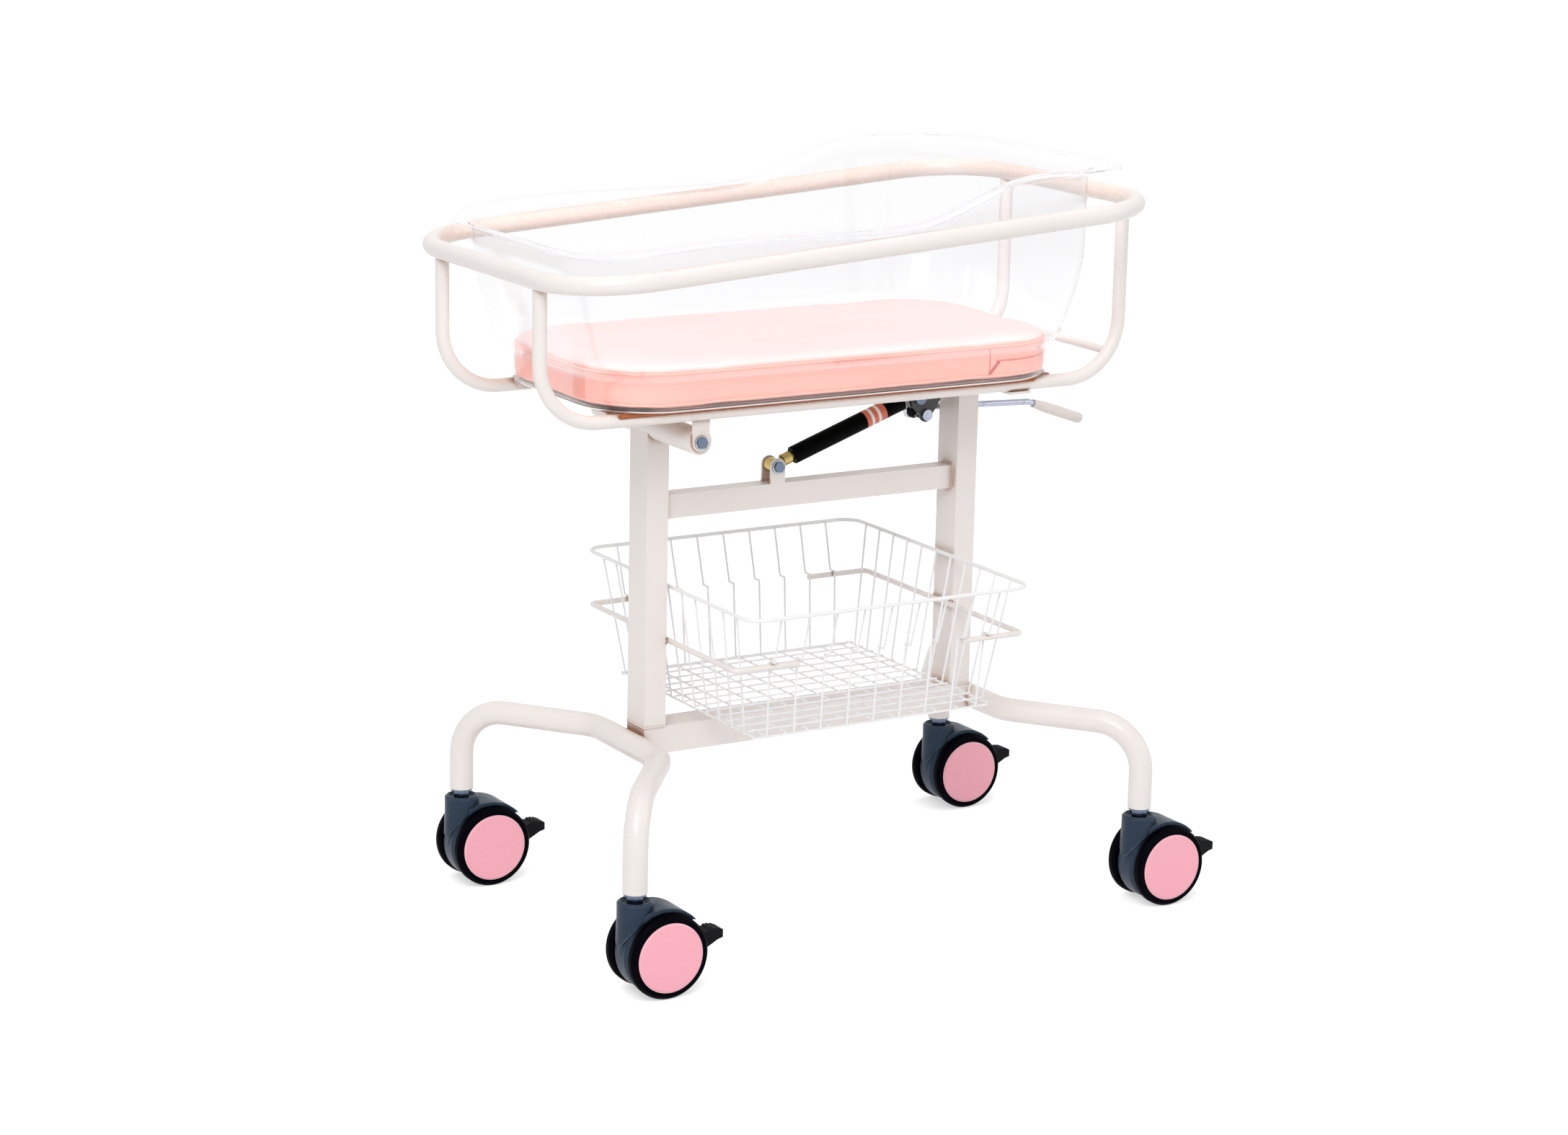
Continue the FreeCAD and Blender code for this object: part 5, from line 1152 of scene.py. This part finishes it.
@dataclass
class Welds:
    """Weld beads where the tubes and bars of the frame and the cradle meet."""

    bead: float = 0.0014
    pitch: float = 0.0022
    ripple: float = 0.22
    carrier_inset: float = 0.0006
    ring_bar: float = 0.011
    u_tube_bar: float = 0.0082
    crossbar: float = 0.005
    u_tube_y: float = 0.125
    u_tube_ends: tuple[float, float] = (-0.427, 0.364)
    ring_middle: tuple[float, float] = (-0.035, 0.842)
    ring_slope: float = math.tan(math.radians(4))
    crossbar_spot: tuple[float, float] = (0.3515, 0.679)

    def run(self, corners: Sequence[Point], closed: bool = False) -> bpy.types.Object:
        """A rippled bead along straight runs from corner to corner."""
        spots = [Vector(corner) for corner in corners]
        ends = spots[1:] + spots[:1] if closed else spots[1:]
        points = []
        for start, end in zip(spots, ends):
            steps = max(1, round((end - start).length / self.pitch))
            points += [start.lerp(end, step / steps) for step in range(steps)]
        if not closed:
            points.append(spots[-1])
        return tube_through("bead", points, self.bead, closed, self.ripple)

    def saddle(
        self, centre: Point, out: Point, along: Point, bar: float, tube: float
    ) -> bpy.types.Object:
        """A bead round a tube that ends on a bar.

        Args:
            centre: Where the two axes meet.
            out: Direction from the bar's axis along the tube.
            along: Direction of the bar.
            bar: The bar's radius.
            tube: The tube's radius.
        """
        way, run = Vector(out).normalized(), Vector(along).normalized()
        across = way.cross(run)
        count = 2 * round(math.pi * tube / self.pitch)
        points = []
        for step in range(count):
            angle = TAU * step / count
            side = tube * math.sin(angle)
            lift = math.sqrt(max(0.0, bar**2 - side**2))
            ahead = run * (tube * math.cos(angle))
            points.append(Vector(centre) + ahead + across * side + way * lift)
        return tube_through("bead", points, self.bead, True, self.ripple)

    def build(self) -> None:
        """Model the beads and let them ride with what they join."""
        self.frame_beads()
        self.cradle_beads()

    def frame_beads(self) -> None:
        """Beads of the wheeled frame."""
        low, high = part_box("mid_bar")
        ends = rectangle(low.yz, high.yz)
        beads = [self.run([(x_face, *end) for end in ends], True) for x_face in (low.x, high.x)]
        for name in ("column_left", "column_right"):
            low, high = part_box(name)
            beads.append(self.run([(*spot, low.z) for spot in rectangle(low.xy, high.xy)], True))
        for name in ("basket_carrier_left", "basket_carrier_right"):
            low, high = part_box(name)
            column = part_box(name.replace("basket_carrier", "column"))
            face = column[1].x if low.x < 0 else column[0].x
            for height in (low.z + self.carrier_inset, high.z - self.carrier_inset):
                beads.append(self.run([(face, side.y, height) for side in column]))
        self.finish("frame_welds", beads, "base_frame")

    def cradle_beads(self) -> None:
        """Beads of the tilting cradle."""
        beads = []
        middle_x, middle_z = self.ring_middle
        cross_x, cross_z = self.crossbar_spot
        for side in (-1, 1):
            y_spot = side * self.u_tube_y
            for x_spot in self.u_tube_ends:
                centre = (x_spot, y_spot, middle_z + self.ring_slope * (x_spot - middle_x))
                beads.append(
                    self.saddle(centre, (0, 0, -1), (0, 1, 0), self.ring_bar, self.u_tube_bar)
                )
            centre = (cross_x, y_spot, cross_z)
            beads.append(
                self.saddle(centre, (0, -side, 0), (0, 0, 1), self.u_tube_bar, self.crossbar)
            )
        self.finish("cradle_welds", beads, "cradle")

    def finish(self, name: str, beads: Sequence[bpy.types.Object], body: str) -> None:
        """Join the beads of one body and let them ride with it."""
        piece = joined(name, beads)
        smooth(piece, 60)
        put(piece, body, Look.CREAM)


@dataclass
class Washers:
    """Plain washers under the bolt heads and nuts of the pivot and of the gas spring's foot."""

    radius: float = 0.0084
    thickness: float = 0.0012

    def ring(self, x_spot: float, y_spot: float, z_spot: float) -> bpy.types.Object:
        """One washer that faces along Y."""
        piece = primitive(
            bpy.ops.mesh.primitive_cylinder_add, "washer",
            vertices=40, radius=self.radius, depth=self.thickness,
            location=(x_spot, y_spot, z_spot), rotation=(math.pi / 2, 0, 0),
        )
        modify(piece, "BEVEL", width=0.0003, segments=2, limit_method="ANGLE")
        return piece

    def build(self) -> None:
        """Put a washer on each outer face that a bolt clamps."""
        for name, bolt, held, body in (
            ("pivot_washers", "pivot_bolts", "pivot_tabs", "cradle"),
            ("spring_foot_washers", "spring_lower_bolt", "spring_clevis", "base_frame"),
        ):
            low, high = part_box(bolt)
            spot = (low + high) / 2
            faces = [end.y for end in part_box(held)]
            spots = [face + math.copysign(self.thickness / 2, face) for face in faces]
            rings = [self.ring(spot.x, y_spot, spot.z) for y_spot in spots]
            piece = joined(name, rings)
            smooth(piece)
            put(piece, body, Look.WASHER)


@dataclass
class PaintedShadowStrips:
    """Brown beads along each cradle tube under the tub's floor: painted shadow where the tub sits
    on the tubes.
    """

    ends: tuple[float, float] = (-0.330, 0.236)
    side: float = 0.133
    radius: float = 0.0024
    height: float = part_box("basin_tub")[0].z - 0.0024
    count: int = 60

    def build(self) -> None:
        """Lay a bead on each tube."""
        start, end = self.ends
        beads = []
        for side in (-self.side, self.side):
            spots = [start + (end - start) * step / self.count for step in range(self.count + 1)]
            line = [Vector((x_spot, side, self.height)) for x_spot in spots]
            beads.append(tube_through("bead", line, self.radius, False, 0.06))
        piece = joined("tub_painted_shadow_strips", beads)
        smooth(piece)
        put(piece, "cradle", Look.STRIP)


@dataclass
class SpringLabel:
    """The plain striped film label round the gas spring's cylinder."""

    start: Point = (-0.048, 0.0, 0.548)
    axis: Point = (0.94385836, 0.0, 0.33035042)
    radius: float = 0.0111
    stripes: tuple = (0.134, 0.1405, 0.1445, 0.1505, 0.1545, 0.163)

    def build(self) -> None:
        """Wrap each part of the label round the cylinder."""
        turn = Vector((0, 0, 1)).rotation_difference(Vector(self.axis)).to_euler()
        for number, (low, high) in enumerate(zip(self.stripes, self.stripes[1:])):
            look = Look.LABEL if number % 2 else Look.LABEL_STRIPE
            middle = Vector(self.start) + Vector(self.axis) * ((low + high) / 2)
            piece = primitive(
                bpy.ops.mesh.primitive_cylinder_add, f"spring_label_{number}",
                vertices=48, radius=self.radius, depth=high - low, end_fill_type="NOTHING",
                location=middle, rotation=turn,
            )
            modify(piece, "SOLIDIFY", thickness=0.00012, offset=-1.0)
            smooth(piece)
            put(piece, "spring_body", look)


@dataclass
class Metalwork:
    """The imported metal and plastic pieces, each with its finish."""

    looks: dict[Look, tuple[str, ...]] = field(
        default_factory=lambda: {
            Look.CREAM: (
                "column_left", "column_right", "bottom_beam", "leg_tube_left", "leg_tube_right",
                "mid_bar", "pivot_tube", "spring_clevis", "basket_carrier_left",
                "basket_carrier_right", "guard_ring", "u_tube_front", "u_tube_rear",
                "head_crossbar", "pivot_tabs", "support_tray",
            ),
            Look.STRAP: ("rest_strap",),
            Look.BLUE_ZINC: ("spring_lower_bolt", "pivot_bolts", "head_screws"),
            Look.STEM: ("caster_stems",),
            Look.GOLD_ZINC: ("spring_end_fitting",),
            Look.CHROME: ("spring_rod", "release_pin", "release_lever"),
            Look.SILVER: ("release_head",),
            Look.SPRING: ("spring_cylinder", "spring_gland"),
            Look.BRACKET: ("spring_bracket", "lever_finger"),
            Look.GRIP: ("lever_grip",),
            Look.PAD: ("rest_pad", "trigger_roller"),
            Look.SOCKET: ("caster_sockets",),
            Look.WIRE: ("basket_rim", "basket_side_panels", "basket_end_panels", "basket_floor"),
        }
    )

    def build(self) -> None:
        """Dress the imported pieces."""
        for look, nodes in self.looks.items():
            dress(look, *nodes)
            log.info("%s on %d packed pieces", look.value.name, len(nodes))


@dataclass
class Caster:
    """One braked twin-wheel caster."""

    name: str
    rim_radius: float = 0.0405
    rim_bar: float = 0.0007
    rim_inset: float = 0.0016

    def disc_rim_highlights(self) -> None:
        """A paler ring at each disc's outer edge, facing out: a painted highlight."""
        low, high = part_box(f"wheel_discs_{self.name}")
        middle = (low + high) / 2
        rims = [
            primitive(
                bpy.ops.mesh.primitive_torus_add, "rim",
                location=(middle.x, y_spot, middle.z), rotation=(math.pi / 2, 0, 0),
                major_segments=96, minor_segments=8,
                major_radius=self.rim_radius, minor_radius=self.rim_bar,
            )
            for y_spot in (low.y + self.rim_inset, high.y - self.rim_inset)
        ]
        piece = joined(f"disc_rim_highlights_{self.name}", rims)
        smooth(piece)
        put(piece, f"wheels_{self.name}", Look.DISC_RIM)

    def build(self) -> None:
        """Dress the caster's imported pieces."""
        dress(Look.SLATE, f"caster_housing_{self.name}")
        dress(Look.TYRE, f"caster_wheels_{self.name}")
        dress(Look.PAD, f"brake_pedal_{self.name}")
        dress(Look.DISC, f"wheel_discs_{self.name}")
        dress(Look.BLUE_ZINC, f"caster_axle_{self.name}")
        self.disc_rim_highlights()
        log.info("caster %s dressed", self.name)


# ---------------------------------------------------------------- stage, lamps and camera


@dataclass
class Studio:
    """The white floor and backdrop, the lamps and the camera."""

    picture: tuple[int, int] = (2175, 1575)
    focal_px: float = 4883.32
    centre_px: tuple[float, float] = (1115.77, 776.11)
    eye: Point = (-2.17492, -3.56164, 1.42647)
    yaw: float = 0.548
    pitch: float = 0.2353
    roll: float = 0.0228
    sensor: float = 36.0
    floor_size: float = 60.0
    floor_glow: float = 0.52
    world_light: float = 0.56
    white: Point = (1.0, 0.995, 0.99)

    def camera(self) -> None:
        """Place the camera."""
        level = math.cos(self.pitch)
        east, north = math.sin(self.yaw) * level, math.cos(self.yaw) * level
        ahead = Vector((east, north, -math.sin(self.pitch)))
        right = Vector((math.cos(self.yaw), -math.sin(self.yaw), 0))
        up = right.cross(ahead)
        right, up = (
            right * math.cos(self.roll) + up * math.sin(self.roll),
            up * math.cos(self.roll) - right * math.sin(self.roll),
        )
        made = bpy.data.cameras.new("camera")
        width, height = self.picture
        made.sensor_width = self.sensor
        made.lens = self.focal_px / width * self.sensor
        made.shift_x = (width / 2 - self.centre_px[0]) / width
        made.shift_y = (self.centre_px[1] - height / 2) / width
        made.clip_end = 200
        camera = bpy.data.objects.new("camera", made)
        bpy.context.scene.collection.objects.link(camera)
        turn = Matrix((right, up, -ahead)).transposed()
        camera.matrix_world = Matrix.Translation(self.eye) @ turn.to_4x4()
        bpy.context.scene.camera = camera

    def floor(self) -> None:
        """A white floor that keeps a soft shadow."""
        add = bpy.ops.mesh.primitive_plane_add
        piece = primitive(add, "floor", size=self.floor_size, location=(0, 0, 0))
        made = bpy.data.materials.new("white_floor")
        wiring = cleared(made)
        plain = wiring.node("BsdfDiffuse", {"Color": (0.9, 0.9, 0.9, 1)}).outputs["BSDF"]
        glow = wiring.node("Emission", {"Color": (1, 1, 1, 1), "Strength": self.floor_glow})
        both = wiring.node("AddShader", {0: plain, 1: glow.outputs["Emission"]}).outputs["Shader"]
        mixed = wiring.node("MixShader", {0: self.seen(wiring), 1: plain, 2: both})
        wiring.node("OutputMaterial", {"Surface": mixed.outputs["Shader"]})
        piece.data.materials.append(made)

    def seen(self, wiring: Wiring) -> Socket:
        """1 for rays from the camera, off metal and through glass."""
        path = wiring.node("LightPath").outputs
        total = wiring.maths("ADD", path["Is Camera Ray"], path["Is Glossy Ray"])
        total = wiring.maths("ADD", total, path["Is Transmission Ray"])
        return wiring.maths("MINIMUM", total, 1.0)

    def world(self) -> None:
        """Soft even light, shown as white."""
        made = bpy.data.worlds.new("white_room")
        bpy.context.scene.world = made
        wiring = cleared(made)
        strength = self.world_light
        lit = wiring.node("Background", {"Color": (*self.white, 1), "Strength": strength})
        shown = wiring.node("Background", {"Color": (1, 1, 1, 1), "Strength": 1.0})
        shades = {1: lit.outputs[0], 2: shown.outputs[0]}
        mixed = wiring.node("MixShader", {0: self.seen(wiring)} | shades)
        wiring.node("OutputWorld", {"Surface": mixed.outputs["Shader"]})

    def lamp(self, name: str, spot: Point, aim: Point, size: float, power: float) -> None:
        """A soft square lamp.

        Args:
            name: The lamp's name.
            spot: Where it stands.
            aim: What it points at.
            size: The length of its sides.
            power: Its power in watts.
        """
        made = bpy.data.lights.new(name, "AREA")
        made.size = size
        made.energy = power
        made.color = self.white
        lamp = bpy.data.objects.new(name, made)
        bpy.context.scene.collection.objects.link(lamp)
        way = Vector(aim) - Vector(spot)
        turn = way.to_track_quat("-Z", "Y").to_matrix().to_4x4()
        lamp.matrix_world = Matrix.Translation(spot) @ turn

    def build(self) -> None:
        """Set the stage."""
        self.floor()
        self.world()
        self.lamp("key_lamp", (-2.2, -2.6, 3.4), (0, 0, 0.6), 2.4, 92)
        self.lamp("top_lamp", (0.3, 0.4, 3.6), (0, 0, 0.6), 2.6, 22)
        self.lamp("fill_lamp", (2.8, -2.0, 1.8), (0, 0, 0.5), 2.0, 12)
        self.camera()
        bpy.context.scene.view_settings.view_transform = "Standard"


def main() -> None:
    """Build the bassinet's looks around its frame."""
    logging.basicConfig(level=logging.INFO, format="%(name)s: %(message)s")
    parts = [Studio(), Metalwork(), Welds(), Washers(), PaintedShadowStrips(), SpringLabel()]
    parts += [ClearTub(), Mattress(), *(Caster(name) for name in CASTERS)]
    for part in parts:
        part.build()
        log.info("%s done", type(part).__name__)


if __name__ == "__main__":
    main()
